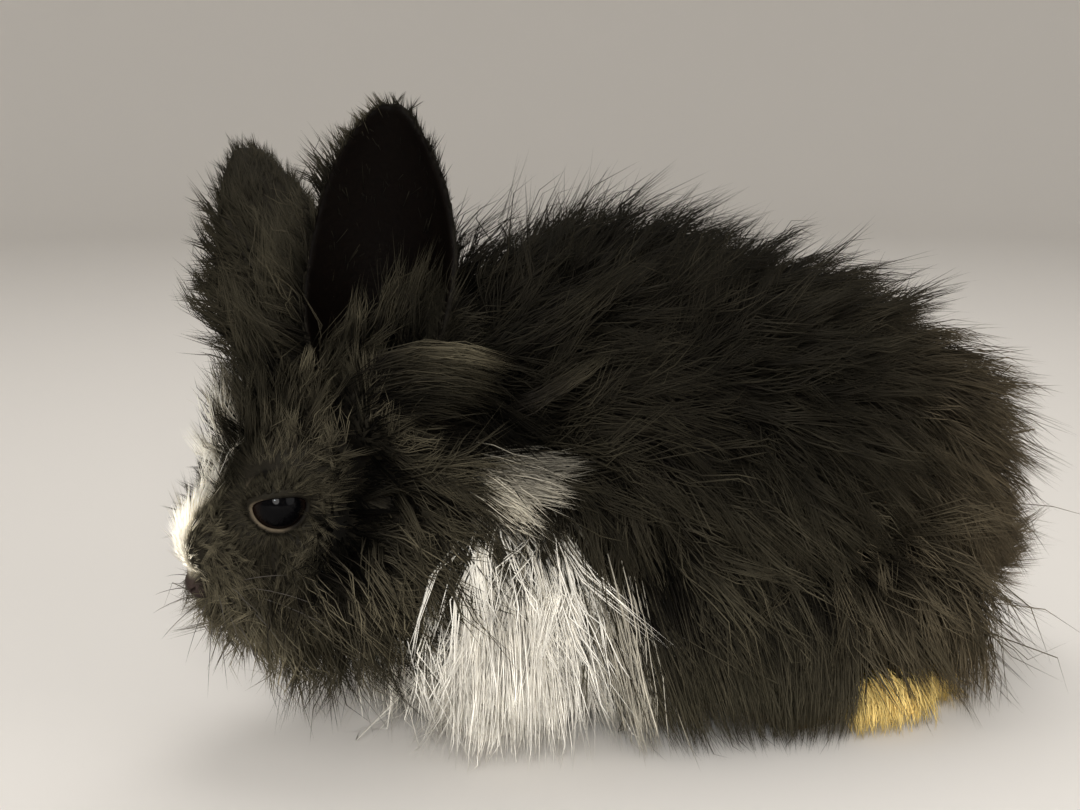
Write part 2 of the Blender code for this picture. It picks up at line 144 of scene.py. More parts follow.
def frame_shift():
    """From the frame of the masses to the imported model's, in millimetres, read at the left eye."""
    low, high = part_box("eye_left")
    centre = (Vector(low) + Vector(high)) / 2 / MM
    return centre - eye_centre("left")


SHIFT = frame_shift()
TO_MODEL = Matrix.Scale(MM, 4) @ Matrix.Translation(SHIFT)


# Camera, light and floor

CAMERA_AIM = Vector((-21, 0, 73))
CAMERA_AZIMUTH = math.radians(-20)
CAMERA_ELEVATION = math.radians(11)
CAMERA_DISTANCE = 400
CAMERA_LENS = 56
CAMERA_SENSOR = 36

# Each light: place, what it aims at and width in metres, power in watts, and colour
BODY_MIDDLE = (-0.02, 0, 0.06)
NEAR_EYE = (-0.09, -0.02, 0.07)
LIGHTS = {
    "key": ((-0.38, -0.95, 0.42), BODY_MIDDLE, 0.5, 9.0, (1.0, 0.97, 0.93)),
    "fill": ((0.75, -0.75, 0.35), BODY_MIDDLE, 0.8, 3.4, (1.0, 0.98, 0.96)),
    "top": ((0.1, 0.3, 0.95), BODY_MIDDLE, 0.7, 3.4, (1.0, 0.98, 0.96)),
    "glint": ((-0.42, -0.80, 0.42), NEAR_EYE, 0.05, 1.6, (0.85, 0.92, 1.0)),
}
ROOM_COLOUR = (0.9, 0.89, 0.87, 1)
ROOM_STRENGTH = 0.5

# The floor, in metres: flat out to this radius, then bent up to a wall
FLOOR_FLAT = 1.3
FLOOR_BEND = 0.7
FLOOR_RISE = 2.0
FLOOR_SIDES = 64
FLOOR_BEND_STEPS = 14
FLOOR_COLOUR = (0.74, 0.71, 0.67, 1)


def linked(name, data):
    """A new object of the scene that holds the data."""
    obj = bpy.data.objects.new(name, data)
    bpy.context.scene.collection.objects.link(obj)
    return obj


def place_camera():
    flat = math.cos(CAMERA_ELEVATION)
    sideways, near = math.sin(CAMERA_AZIMUTH) * flat, -math.cos(CAMERA_AZIMUTH) * flat
    back = Vector((sideways, near, math.sin(CAMERA_ELEVATION)))
    camera = bpy.data.cameras.new("camera")
    camera.lens = CAMERA_LENS
    camera.sensor_width = CAMERA_SENSOR
    camera.clip_start = 0.01
    holder = linked("camera", camera)
    holder.location = TO_MODEL @ (CAMERA_AIM + back * CAMERA_DISTANCE)
    holder.rotation_euler = (-back).to_track_quat("-Z", "Y").to_euler()
    bpy.context.scene.camera = holder


def place_lights():
    for name, (place, aim, size, power, colour) in LIGHTS.items():
        light = bpy.data.lights.new(name, "AREA")
        light.shape = "DISK"
        light.size = size
        light.energy = power
        light.color = colour
        holder = linked(name, light)
        holder.location = place
        direction = Vector(aim) - Vector(place)
        holder.rotation_euler = direction.to_track_quat("-Z", "Y").to_euler()
    world = bpy.data.worlds.new("soft_room")
    world.use_nodes = True
    background = world.node_tree.nodes["Background"]
    background.inputs["Color"].default_value = ROOM_COLOUR
    background.inputs["Strength"].default_value = ROOM_STRENGTH
    bpy.context.scene.world = world
    bpy.context.scene.view_settings.view_transform = "Standard"


def place_floor():
    """A pale floor that rises in a wide curve all round."""
    profile = []
    for angle in np.linspace(0, math.pi / 2, FLOOR_BEND_STEPS):
        out, up = FLOOR_BEND * math.sin(angle), FLOOR_BEND * (1 - math.cos(angle))
        profile.append((FLOOR_FLAT + out, up))
    profile.append((FLOOR_FLAT + FLOOR_BEND, FLOOR_RISE))
    angles = [2 * math.pi * k / FLOOR_SIDES for k in range(FLOOR_SIDES)]
    bm = bmesh.new()
    rings = []
    for radius, z in profile:
        corners = [(radius * math.cos(a), radius * math.sin(a), z) for a in angles]
        rings.append([bm.verts.new(corner) for corner in corners])
    bm.faces.new(rings[0])
    bridge(bm, rings)
    floor = object_from(bm, "floor")
    floor.data.shade_smooth()
    made, shader = new_material("pale_floor")
    shader.inputs["Base Color"].default_value = FLOOR_COLOUR
    shader.inputs["Roughness"].default_value = 0.9
    floor.data.materials.append(made)


def bridge(bm, rings):
    """Faces between each closed ring of points and the next."""
    for ring, following in zip(rings, rings[1:]):
        for k in range(len(ring)):
            n = (k + 1) % len(ring)
            bm.faces.new((ring[k], ring[n], following[n], following[k]))


# Materials


def new_material(name):
    made = bpy.data.materials.new(name)
    made.use_nodes = True
    return made, made.node_tree.nodes["Principled BSDF"]


def add_node(made, kind, **values):
    """A shader node with the named inputs set."""
    node = made.node_tree.nodes.new("ShaderNode" + kind)
    for name, value in values.items():
        node.inputs[name.replace("_", " ")].default_value = value
    return node


def add_noise(made, scale, detail):
    where = add_node(made, "TexCoord")
    noise = add_node(made, "TexNoise", Scale=scale, Detail=detail)
    made.node_tree.links.new(where.outputs["Object"], noise.inputs["Vector"])
    return noise


def add_bump(made, shader, scale, strength, distance):
    links = made.node_tree.links
    noise = add_noise(made, scale, detail=3)
    bump = add_node(made, "Bump", Strength=strength, Distance=distance)
    links.new(noise.outputs["Fac"], bump.inputs["Height"])
    links.new(bump.outputs["Normal"], shader.inputs["Normal"])
    return noise


COAT_ROUGHNESS = 0.7
COAT_SPECULAR = 0.04
COAT_SPECKLE = 160
MOTTLE = (0.8, 1.2)


def painted_material(name, roughness, speckle_scale, bump_strength=0.0):
    """A material whose colour is the mesh's colour attribute, its markings with painted shade and
    light, mottled a little by noise.
    """
    made, shader = new_material(name)
    links = made.node_tree.links
    tone = add_node(made, "Attribute")
    tone.attribute_name = "coat_colour"
    if bump_strength:
        noise = add_bump(made, shader, speckle_scale, bump_strength, 0.0004)
    else:
        noise = add_noise(made, speckle_scale, detail=1)
    low, high = MOTTLE
    spread = add_node(made, "MapRange", From_Min=0.3, From_Max=0.7, To_Min=low, To_Max=high)
    shade = add_node(made, "VectorMath")
    shade.operation = "SCALE"
    links.new(noise.outputs["Fac"], spread.inputs["Value"])
    links.new(tone.outputs["Color"], shade.inputs[0])
    links.new(spread.outputs["Result"], shade.inputs["Scale"])
    links.new(shade.outputs["Vector"], shader.inputs["Base Color"])
    shader.inputs["Roughness"].default_value = roughness
    shader.inputs["Specular IOR Level"].default_value = COAT_SPECULAR
    return made


# Markings, with painted shade and light, the same on skin and coat: linear colours and the places they
# cover

CHARCOAL_ROOT = np.array((0.0055, 0.0047, 0.0038))
CHARCOAL_TIP = np.array((0.063, 0.055, 0.036))
RUST_TIP = np.array((0.138, 0.109, 0.068))
WHITE_ROOT = np.array((0.82, 0.78, 0.69))
WHITE_TIP = np.array((0.95, 0.92, 0.84))
STAINED = np.array((0.78, 0.59, 0.22))
GREYED_WARMTH = np.array((0.0, 0.07, 0.24))
# The ear cup's own dark skin, made near black with painted shade deep in the cup
EAR_CUP_SKIN_AND_SHADE = np.array((0.0012, 0.0006, 0.0003))
NOSE_SKIN = np.array((0.034, 0.024, 0.021))
LID_SKIN = np.array((0.105, 0.084, 0.058))


def smooth(low, high, value):
    share = np.clip((value - low) / (high - low), 0, 1)
    return share * share * (3 - 2 * share)


def mixed(first, second, share):
    return first * (1 - share) + second * share


def to_head(points):
    """Points in the head's own frame."""
    back = np.array(HEAD_FRAME.inverted())
    return points @ back[:3, :3].T + back[:3, 3]


# Blaze, in the head's frame: half width on the brow, added width on the muzzle, how far it stands
# to the far side, and how much less on the muzzle
BLAZE_HALF = 2.5
BLAZE_WIDER = 0.6
BLAZE_ASIDE = 0.9
BLAZE_STRAIGHTER = 0.3

# White chest, pale tuft on the neck, and feet
CHEST_X = -38
CHEST_LEAN = 4
CHEST_TOP = 58
CHEST_HALF = 8
CHEST_SPREAD = 0.62
TUFT_X = -43
TUFT_Z = 62
TUFT_WHITE = 0.45
FOOT_TOP = 15
FOOT_COVERED = (42, 37)

# Painted shade darkening the top of the back, rust on the rump, and painted light paling the low flank
BACK_TOP_PAINTED_SHADE = 0.71
RUST_FROM, RUST_TO = 20, 95
LOW_FLANK_PAINTED_LIGHT = 0.16


def whiteness(points):
    """How white the coat is at its roots: the blaze, the chest, a tuft on the neck and the feet."""
    head = to_head(points)
    x, y, z = points.T
    muzzle = smooth(-10, -26, head[:, 0])
    half = BLAZE_HALF + BLAZE_WIDER * muzzle
    aside = np.abs(head[:, 1] - BLAZE_ASIDE + BLAZE_STRAIGHTER * muzzle)
    blaze = smooth(half + 1.6, half - 1.2, aside)
    blaze *= smooth(4, -6, head[:, 0]) * smooth(1.0, 5, head[:, 2]) * smooth(-60, -66, x)
    half = CHEST_HALF + CHEST_SPREAD * np.clip(CHEST_TOP - z, 0, 40)
    middle = CHEST_X + CHEST_LEAN * smooth(32, 52, z)
    chest = smooth(half + 2, half - 2, np.abs(x - middle)) * smooth(58.5, 54, z)
    tuft = smooth(8, 3, np.hypot(x - TUFT_X, (z - TUFT_Z) * 1.6)) * (np.abs(y) > 13)
    covered = smooth(5, 12, x) * smooth(*FOOT_COVERED, x)
    feet = smooth(FOOT_TOP, 10, z) * (1 - 0.85 * covered)
    return np.clip(np.maximum.reduce([blaze, chest, TUFT_WHITE * tuft, feet]), 0, 1)


def stain(points):
    """Cream-yellow on the near hind foot and, faintly, on the far one."""
    x, y, z = points.T
    hind = smooth(2, 10, x) * smooth(17, 10, z) * smooth(24, 30, np.abs(y))
    return hind * np.where(y < 0, 1.0, 0.5)


def coat_colour(roots, along, shade):
    """The colour of each vertex: its marking at the root, with painted shade on the back and painted
    light low on the flank; darker towards the root, partly its own colour and partly painted shade in
    the coat; paler at the tip.
    """
    x, _, z = roots.T
    rust = smooth(RUST_FROM, RUST_TO, x)[:, None]
    tip = mixed(CHARCOAL_TIP, RUST_TIP, rust)
    # Painted shade over the top of the back, and painted light low on the flank
    back_top_shade = smooth(45, 80, z) * smooth(85, 25, x) * smooth(-66, -56, x)
    tip = tip * (1 - BACK_TOP_PAINTED_SHADE * back_top_shade)[:, None]
    tip = tip * (1 + LOW_FLANK_PAINTED_LIGHT * smooth(50, 25, z) * smooth(-30, 0, x))[:, None]
    # Darker towards the root: partly the coat's own darker roots, partly painted shade deep in the
    # coat
    climb = smooth(0.15, 1.0, along)[:, None]
    dark = mixed(CHARCOAL_ROOT, tip, climb)
    pale = mixed(WHITE_ROOT, WHITE_TIP, climb)
    pale = mixed(pale, STAINED, stain(roots)[:, None])
    white = whiteness(roots)[:, None]
    pale = pale * (1 - (1 - white) * GREYED_WARMTH)
    return mixed(dark, pale, white) * shade[:, None]


def paint(mesh, colours):
    layer = mesh.color_attributes.new("coat_colour", "FLOAT_COLOR", "POINT")
    full = np.ones((len(colours), 4), np.float32)
    full[:, :3] = colours
    layer.data.foreach_set("color", full.ravel())


# Mesh helpers


def add_ball(bm, mass, place=WORLD, grow=0.0, side=1, detail=4):
    centre, radii = mass
    here = Matrix.Translation((centre[0], centre[1] * side, centre[2]))
    size = Matrix.Diagonal((*[radius + grow for radius in radii], 1))
    bmesh.ops.create_icosphere(bm, subdivisions=detail, radius=1, matrix=place @ here @ size)


def object_from(bm, name):
    bmesh.ops.recalc_face_normals(bm, faces=bm.faces)
    mesh = bpy.data.meshes.new(name)
    bm.to_mesh(mesh)
    bm.free()
    return linked(name, mesh)


def applied(obj):
    graph = bpy.context.evaluated_depsgraph_get()
    mesh = bpy.data.meshes.new_from_object(obj.evaluated_get(graph))
    obj.modifiers.clear()
    obj.data = mesh
    return obj


def remeshed(obj, voxel, steps):
    remesh = obj.modifiers.new("Remesh", "REMESH")
    remesh.mode = "VOXEL"
    remesh.voxel_size = voxel
    soften = obj.modifiers.new("Smooth", "SMOOTH")
    soften.factor = 0.5
    soften.iterations = steps
    return applied(obj)


def rows_of(items, name, kind=np.float32):
    """One property of each item of a mesh, in rows of three."""
    values = np.empty(len(items) * 3, kind)
    items.foreach_get(name, values)
    return values.reshape(-1, 3)


def points_of(mesh):
    return rows_of(mesh.vertices, "co").astype(np.float64)


# The skin

EAR_ROWS = 28
EAR_COLUMNS = 20
EAR_TIP_SHARE = 0.985
EAR_CURL = 100
EAR_OPENS_BY = 60
EAR_NEAR = 20
SKIN_VOXEL = 0.8
SKIN_SMOOTHING = 3


def ear_cup(share):
    """The half angle of the cup along the ear, its radius, and how far back its middle lies."""
    curl = np.radians(EAR_CURL - EAR_OPENS_BY * smooth(0.0, 0.8, share))
    half_width = EAR_WIDTH / 2 * np.sin(np.pi * (0.14 + 0.86 * share)) ** 0.62
    bow = EAR_SET_BACK + EAR_BOW * np.sin(np.pi * share)
    return curl, half_width / np.sin(np.minimum(curl, np.pi / 2)), bow


def ear_axes(side):
    base, tip = EAR_BASE[side], EAR_TIP[side]
    length = (tip - base).length
    axis = (tip - base) / length
    opening = EAR_OPENING[side]
    opening = (opening - axis * opening.dot(axis)).normalized()
    return base, axis, opening, length


def ear_shell(side):
    """The cupped blade of an ear, its rim turned in a little at the root."""
    base, axis, opening, length = ear_axes(side)
    across = axis.cross(opening)
    bm = bmesh.new()
    rows = []
    for i in range(EAR_ROWS + 1):
        share = EAR_TIP_SHARE * i / EAR_ROWS
        curl, radius, bow = (float(value) for value in ear_cup(share))
        middle = base + axis * (length * share) - opening * bow
        row = []
        for j in range(EAR_COLUMNS + 1):
            turn = curl * (2 * j / EAR_COLUMNS - 1)
            out = across * math.sin(turn) + opening * (1 - math.cos(turn))
            ripple = 0.35 * math.sin(9 * share + 4 * j / EAR_COLUMNS)
            row.append(bm.verts.new(middle + out * (radius + ripple)))
        rows.append(row)
    for row, following in zip(rows, rows[1:]):
        for j in range(EAR_COLUMNS):
            bm.faces.new((row[j], row[j + 1], following[j + 1], following[j]))
    shell = object_from(bm, "ear_shell")
    solidify = shell.modifiers.new("Solidify", "SOLIDIFY")
    solidify.thickness = EAR_THICKNESS
    solidify.offset = 0
    return applied(shell)


def toes(front, width, radius, height):
    spread = [width * (index / (TOE_COUNT - 1) - 0.5) for index in range(TOE_COUNT)]
    return [((front + 0.09 * y * y, y, height), (radius * 1.9, radius, radius * 1.3)) for y in spread]


def foreleg_masses():
    masses = [
        ((7, 0, 38), (9, 7.5, 15)),
        ((4, 0, 21), (6, 5.5, 14)),
        ((1, 0, 8), (5.5, 5, 6.5)),
        ((-4, 0, 3.4), (8.5, 5.6, 3.8)),
    ]
    return masses + toes(*FORE_TOES)


def hindleg_masses(side):
    half = HIND_FOOT_LENGTH / 2
    inward = -SIDE_SIGN[side]
    masses = [
        ((half - 8, 0, 6), (7.5, 5.6, 6.5)),
        ((0, 0, 4.2), (half - 4, 6.0, 4.8)),
        ((-half + 11, 0, 4.0), (9.5, 7.0, 4.6)),
        ((half - 13, 2 * inward, 16), (9, 7, 10)),
        ((half - 20, 5 * inward, 30), (12, 7, 13)),
    ]
    return masses + toes(*HIND_TOES)


def eye_axes(side):
    """Out of the eye, towards its front corner, and up."""
    outward = (HEAD_TURN @ Vector((-0.18, SIDE_SIGN[side], 0.05, 0))).to_3d().normalized()
    up = (Vector((0, 0, 1)) - outward * outward.z).normalized()
    forward = up.cross(outward) * SIDE_SIGN[side]
    return outward, forward, up


def lid(side):
    """A lid wrapped on the eyeball, with a flat upper edge and a round lower one."""
    centre = eye_centre(side)
    outward, forward, up = eye_axes(side)
    bm = bmesh.new()
    rings = []
    for i in range(LID_STEPS):
        turn = 2 * math.pi * i / LID_STEPS
        high = LID_UPPER if math.sin(turn) > 0 else LID_LOWER
        edge = 1 / math.hypot(math.cos(turn) / LID_WIDE, math.sin(turn) / high)
        fold = 0.35 * max(0.0, math.sin(turn))
        profile = (
            (0.06, edge + 1.5),
            (0.22, edge - 2.0),
            (0.6, edge - 2.5),
            (1.0, edge + 2.0),
            (1.15 + fold, edge + 9.0),
            (0.85, edge + 18.0),
            (1.1 + fold, edge + 26.0),
            (0.5, 98.0),
            (0.06, 98.0),
        )
        way = forward * math.cos(turn) + up * math.sin(turn)
        ring = []
        for lift, angle in profile:
            tilt = math.radians(angle)
            out = outward * math.cos(tilt) + way * math.sin(tilt)
            ring.append(bm.verts.new(centre + out * (EYE_RADIUS + lift)))
        rings.append(ring)
    bridge(bm, rings + rings[:1])
    return object_from(bm, "lid")


def raw_skin():
    bm = bmesh.new()
    for mass in (RIBS, NAPE, BELLY, RUMP, FLANK, CHEST, NECK, TAIL, THROAT):
        add_ball(bm, mass)
    for mass in (CRANIUM, MIDFACE, BRIDGE, MUZZLE, CHIN, NOSE):
        add_ball(bm, mass, HEAD_FRAME)
    for side, sign in SIDE_SIGN.items():
        add_ball(bm, CHEEK, HEAD_FRAME, side=sign)
        add_ball(bm, LIP_PAD, HEAD_FRAME, side=sign)
        root = EAR_BASE[side] + EAR_OPENING[side] - Vector((0, 0, 6))
        add_ball(bm, (tuple(root), (9.4, 9.4, 12.0)))
        for mass in foreleg_masses():
            add_ball(bm, mass, Matrix.Translation(FOREPAW[side]), detail=3)
        for mass in hindleg_masses(side):
            add_ball(bm, mass, Matrix.Translation(HIND_FOOT[side]), detail=3)
    for side in SIDE_SIGN:
        shell = ear_shell(side)
        bm.from_mesh(shell.data)
        bpy.data.objects.remove(shell, do_unlink=True)
    return object_from(bm, "rabbit_skin")


def collected(name, objects):
    """The objects, moved from the scene into a collection of their own."""
    holder = bpy.data.collections.new(name)
    bpy.context.scene.collection.children.link(holder)
    for obj in objects:
        bpy.context.scene.collection.objects.unlink(obj)
        holder.objects.link(obj)
    return holder


def combine(obj, operation, holder):
    """A Boolean of the object with all of the collection, which is then dropped."""
    step = obj.modifiers.new("Boolean", "BOOLEAN")
    step.operation = operation
    step.operand_type = "COLLECTION"
    step.collection = holder
    step.solver = "MANIFOLD"
    applied(obj)
    for other in list(holder.objects):
        bpy.data.objects.remove(other, do_unlink=True)
    bpy.data.collections.remove(holder)


def ball_object(mass, place=WORLD, side=1):
    bm = bmesh.new()
    add_ball(bm, mass, place, side=side)
    return object_from(bm, "ball")


def skin_cutters():
    """Eye sockets, mouth, the split lip and nostrils, and all that lies under the soles."""
    made = [
        ball_object(((-24, 0, -10.6), (9.0, 6.5, 0.45)), HEAD_FRAME),
        ball_object(((-30.8, 0, -6.0), (2.4, 0.3, 4.0)), HEAD_FRAME),
    ]
    for sign in SIDE_SIGN.values():
        lean = Matrix.Rotation(0.6 * sign, 4, "X")
        nostril = HEAD_FRAME @ Matrix.Translation((-32.0, 1.9 * sign, -0.4)) @ lean
        made.append(ball_object((tuple(EYE_CENTRE), (EYE_RADIUS + 0.05,) * 3), HEAD_FRAME, sign))
        made.append(ball_object(((0, 0, 0), (1.7, 1.25, 0.5)), nostril))
    bm = bmesh.new()
    below = Matrix.Translation((0, 0, -25)) @ Matrix.Diagonal((400, 400, 50, 1))
    bmesh.ops.create_cube(bm, size=1, matrix=below)
    made.append(object_from(bm, "under_soles"))
    return collected("cutters", made)


NOSE_TIP = np.array((-31.8, 0, -1.4))
MOUTH_Z = -10.6
LID_MARGIN = (0.95, 0.5)


def lengths(rows):
    return np.linalg.norm(rows, axis=1)


def from_eye(points, side):
    return lengths(points - np.array(eye_centre(side)))


def skin_colours(points):
    along = np.full(len(points), 0.35)
    colours = coat_colour(points, along, np.ones(len(points)))
    head = to_head(points)
    nose = smooth(5.2, 3.4, lengths(head - NOSE_TIP))[:, None]
    lips = smooth(1.3, 0.5, np.abs(head[:, 2] - MOUTH_Z)) * smooth(-24, -28, head[:, 0])
    bare = np.maximum(nose, 0.7 * lips[:, None])
    colours = mixed(colours, NOSE_SKIN, bare)
    outer, inner = (EYE_RADIUS + margin for margin in LID_MARGIN)
    for side in SIDE_SIGN:
        away = points - np.array(eye_centre(side))
        _, forward, up = (np.array(axis) for axis in eye_axes(side))
        corner = smooth(0.0, 4.5, away @ (forward * 0.8 - up * 0.6))[:, None]
        margin = smooth(outer, inner, from_eye(points, side))[:, None]
        colours = mixed(colours, mixed(CHARCOAL_ROOT, LID_SKIN, corner), margin)
        # The cup's inner face: its dark skin with painted shade
        colours = mixed(colours, EAR_CUP_SKIN_AND_SHADE, ear_inside(points, side)[:, None])
        # Painted shade in the parting behind each eye
        colours *= (1 - 0.85 * smooth(5, 1, to_crease(points, side)[1]))[:, None]
    return colours


def ear_place(points, side):
    """Share along the ear, distance towards its opening from its mid surface, and across."""
    base, axis, opening, length = ear_axes(side)
    away = points - np.array(base)
    share = away @ np.array(axis) / length
    forward = away @ np.array(opening)
    across = away @ np.array(axis.cross(opening))
    return share, forward, across


def on_ear(points, side):
    share, forward, across = ear_place(points, side)
    near = (np.abs(across) < EAR_NEAR) & (np.abs(forward) < EAR_NEAR)
    return (share > 0.08) & (share < 1.05) & near


def ear_inside(points, side):
    """1 on the cup's inner face, 0 on its back."""
    share, forward, across = ear_place(points, side)
    _, radius, bow = ear_cup(np.clip(share, 0, EAR_TIP_SHARE))
    from_centre = np.hypot(forward - radius + bow, across)
    return np.where(on_ear(points, side), smooth(0.25, -0.35, from_centre - radius), 0.0)


def make_skin():
    skin = remeshed(raw_skin(), SKIN_VOXEL, SKIN_SMOOTHING)
    combine(skin, "DIFFERENCE", skin_cutters())
    combine(skin, "UNION", collected("lids", [lid(side) for side in SIDE_SIGN]))
    paint(skin.data, skin_colours(points_of(skin.data)))
    skin.data.materials.clear()
    skin.data.materials.append(painted_material("rabbit_skin", 0.6, 900, bump_strength=0.35))
    skin.data.shade_smooth()
    return skin


# The coat

BARE_NOSE = np.array((-32.0, 0, -1.4))
BARE_NOSE_RADIUS = 3.4
BARE_LID = 0.75
BARE_SOLE = 1.2

# Combs: place, lie, length, rise from the skin in degrees, and waviness. Those off the midline
# stand for both sides.
TRUNK_COMBS = [
    ((-36, 0, 102), (0.6, 0, 0.55), 26, 38, 1.0),
    ((-10, 0, 105), (0.65, 0, 0.5), 30, 38, 1.2),
    ((25, 0, 98), (0.85, 0, 0.35), 29, 34, 1.2),
    ((60, 0, 86), (0.95, 0, -0.05), 27, 28, 0.9),
    ((86, 0, 66), (0.8, 0, -0.5), 26, 26, 0.8),
    ((95, 0, 40), (0.5, 0, -0.85), 22, 26, 0.8),
    ((84, 0, 20), (0.5, 0, -0.8), 15, 20, 0.7),
    ((-28, -22, 80), (0.65, -0.1, 0.35), 29, 34, 1.4),
    ((8, -26, 85), (0.7, 0, 0.4), 30, 34, 1.4),
    ((5, -29, 62), (0.6, -0.1, -0.5), 32, 29, 1.6),
    ((8, -30, 40), (0.38, -0.25, -1.0), 47, 21, 1.3),
    ((-12, -25, 30), (0.25, -0.25, -1.0), 41, 18, 1.1),
    ((25, -28, 27), (0.3, -0.35, -1.0), 41, 18, 1.2),
    ((0, -20, 20), (0.1, -0.35, -1.0), 31, 20, 0.8),
    ((35, -20, 20), (0.1, -0.35, -1.0), 31, 20, 0.8),
    ((48, -29, 68), (0.75, 0, -0.4), 31, 28, 1.1),
    ((52, -30, 42), (0.4, -0.25, -0.9), 46, 22, 1.2),
    ((50, -25, 27), (0.15, -0.35, -1.0), 40, 18, 0.8),
    ((76, -22, 26), (0.4, -0.2, -0.9), 22, 16, 0.8),
    ((82, -18, 42), (0.7, -0.1, -0.65), 26, 26, 0.8),
    ((-52, 0, 38), (-0.05, 0, -1.0), 32, 20, 0.6),
    ((-42, -17, 42), (-0.1, -0.3, -1.0), 44, 21, 1.0),
    ((-24, -22, 46), (0.25, -0.25, -0.95), 44, 21, 1.1),
    ((-30, -15, 24), (0.1, -0.35, -1.0), 31, 20, 0.6),
    ((15, 0, 16), (0.3, 0, -0.6), 12, 25, 0.6),
    ((100, 0, 30), (0.5, 0, 0.5), 13, 40, 0.8),
]
HEAD_COMBS = [
    ((-33, 0, 5), (0.9, 0, 0.3), 3.5, 20, 0.3),
    ((-25, 0, 13), (1.0, 0, 0.4), 6.5, 30, 0.5),
    ((-10, 0, 17), (0.9, 0, 0.6), 12.0, 38, 0.9),
    ((0, 0, 22), (0.8, 0, 0.8), 15.0, 42, 1.1),
    ((6, 0, 24), (0.4, 0, 1.0), 20, 48, 1.3),
    ((2, -10, 22), (0.3, -0.1, 1.0), 13, 36, 1.2),
    ((-9, -12, 14), (0.3, -0.3, 0.9), 8.0, 34, 1.3),
    ((-18, -12, 6), (-0.3, -0.5, 0.4), 6.0, 34, 1.3),
    ((-12, -15, -4), (0.0, -0.4, -0.9), 9.0, 40, 2.0),
    ((-26, -9, 2), (-0.2, -0.6, -0.4), 6.5, 36, 1.6),
    ((-29, -7, -7), (-0.3, -0.5, -0.8), 11, 40, 2.0),
    ((-33, 0, -8), (-0.3, 0, -1.0), 6, 36, 1.4),
    ((-20, -11, -11), (-0.2, -0.5, -0.9), 20, 42, 2.2),
    ((-5, -18, -11), (0.3, -0.4, -0.9), 24, 36, 2.0),
    ((4, -18, 3), (0.7, -0.3, -0.3), 15, 34, 1.6),
    ((-12, -12, -16), (0.0, -0.4, -1.0), 32, 36, 2.2),
    ((-22, 0, -17), (-0.1, 0, -1.0), 27, 36, 2.2),
    ((14, -15, 16), (0.5, -0.4, 0.7), 22, 36, 1.3),
    ((26, 0, 14), (1.0, 0, 0.2), 26, 34, 1.2),
    ((20, -19, 0), (0.8, -0.3, -0.4), 27, 34, 1.5),
    ((10, -12, -18), (0.3, -0.3, -1.0), 36, 30, 2.0),
    ((8, 0, -26), (0.2, 0, -1.0), 30, 24, 1.4),
]
LEG_COMBS = [
    ((-30, -18, 24), (0.1, -0.1, -1.0), 12, 18, 0.4),
    ((-32, -18, 9), (-0.3, 0, -0.9), 5, 18, 0.3),
    ((-42, -18, 5), (-1.0, 0, -0.3), 3.2, 14, 0.2),
    ((58, -36, 10), (-0.3, 0, -0.9), 6, 20, 0.3),
    ((43, -36, 9), (-0.9, 0, -0.2), 5, 14, 0.3),
    ((22, -36, 7), (-1.0, 0, -0.3), 3.6, 14, 0.2),
    ((50, -33, 22), (0.2, -0.2, -1.0), 16, 18, 0.5),
]


def all_combs():
    """Every comb on both sides, as arrays of place, lie and (length, rise, wave)."""
    rows = []
    for where, combs in ((WORLD, TRUNK_COMBS + LEG_COMBS), (HEAD_FRAME, HEAD_COMBS)):
        turn = where.to_3x3()
        for place, lie, *kind in combs:
            for sign in (1, -1) if place[1] else (1,):
                flip = Vector((1, sign, 1))
                here = where @ (Vector(place) * flip)
                way = (turn @ (Vector(lie) * flip)).normalized()
                rows.append((*here, *way, *kind))
    rows = np.array(rows, float)
    return rows[:, :3], rows[:, 3:6], rows[:, 6:]


def combed(points):
    """Lie, length, rise and waviness of the coat at each point, from the combs around it."""
    places, lies, kinds = all_combs()
    lie = np.empty_like(points)
    kind = np.empty_like(points)
    for start in range(0, len(points), 40_000):
        part = slice(start, start + 40_000)
        near = ((points[part, None, :] - places[None]) ** 2).sum(2)
        weight = 1 / (near + 12.0) ** 2
        weight /= weight.sum(1, keepdims=True)
        lie[part] = weight @ lies
        kind[part] = weight @ kinds
    for side in SIDE_SIGN:
        comb_eye(points, side, lie, kind)
        comb_ear(points, side, lie, kind)
        comb_crease(points, side, lie, kind)
    lie /= lengths(lie)[:, None]
    return lie, kind[:, 0], kind[:, 1], kind[:, 2]


def comb_eye(points, side, lie, kind):
    """Short fur round the eye, lying away from it."""
    away = points - np.array(eye_centre(side))
    distance = lengths(away)
    near = smooth(15, 7.5, distance)
    lie += away / distance[:, None] * near[:, None] * 0.9
    kind[:, 0] *= 1 - 0.5 * near
    kind[:, 1] *= 1 - 0.3 * near


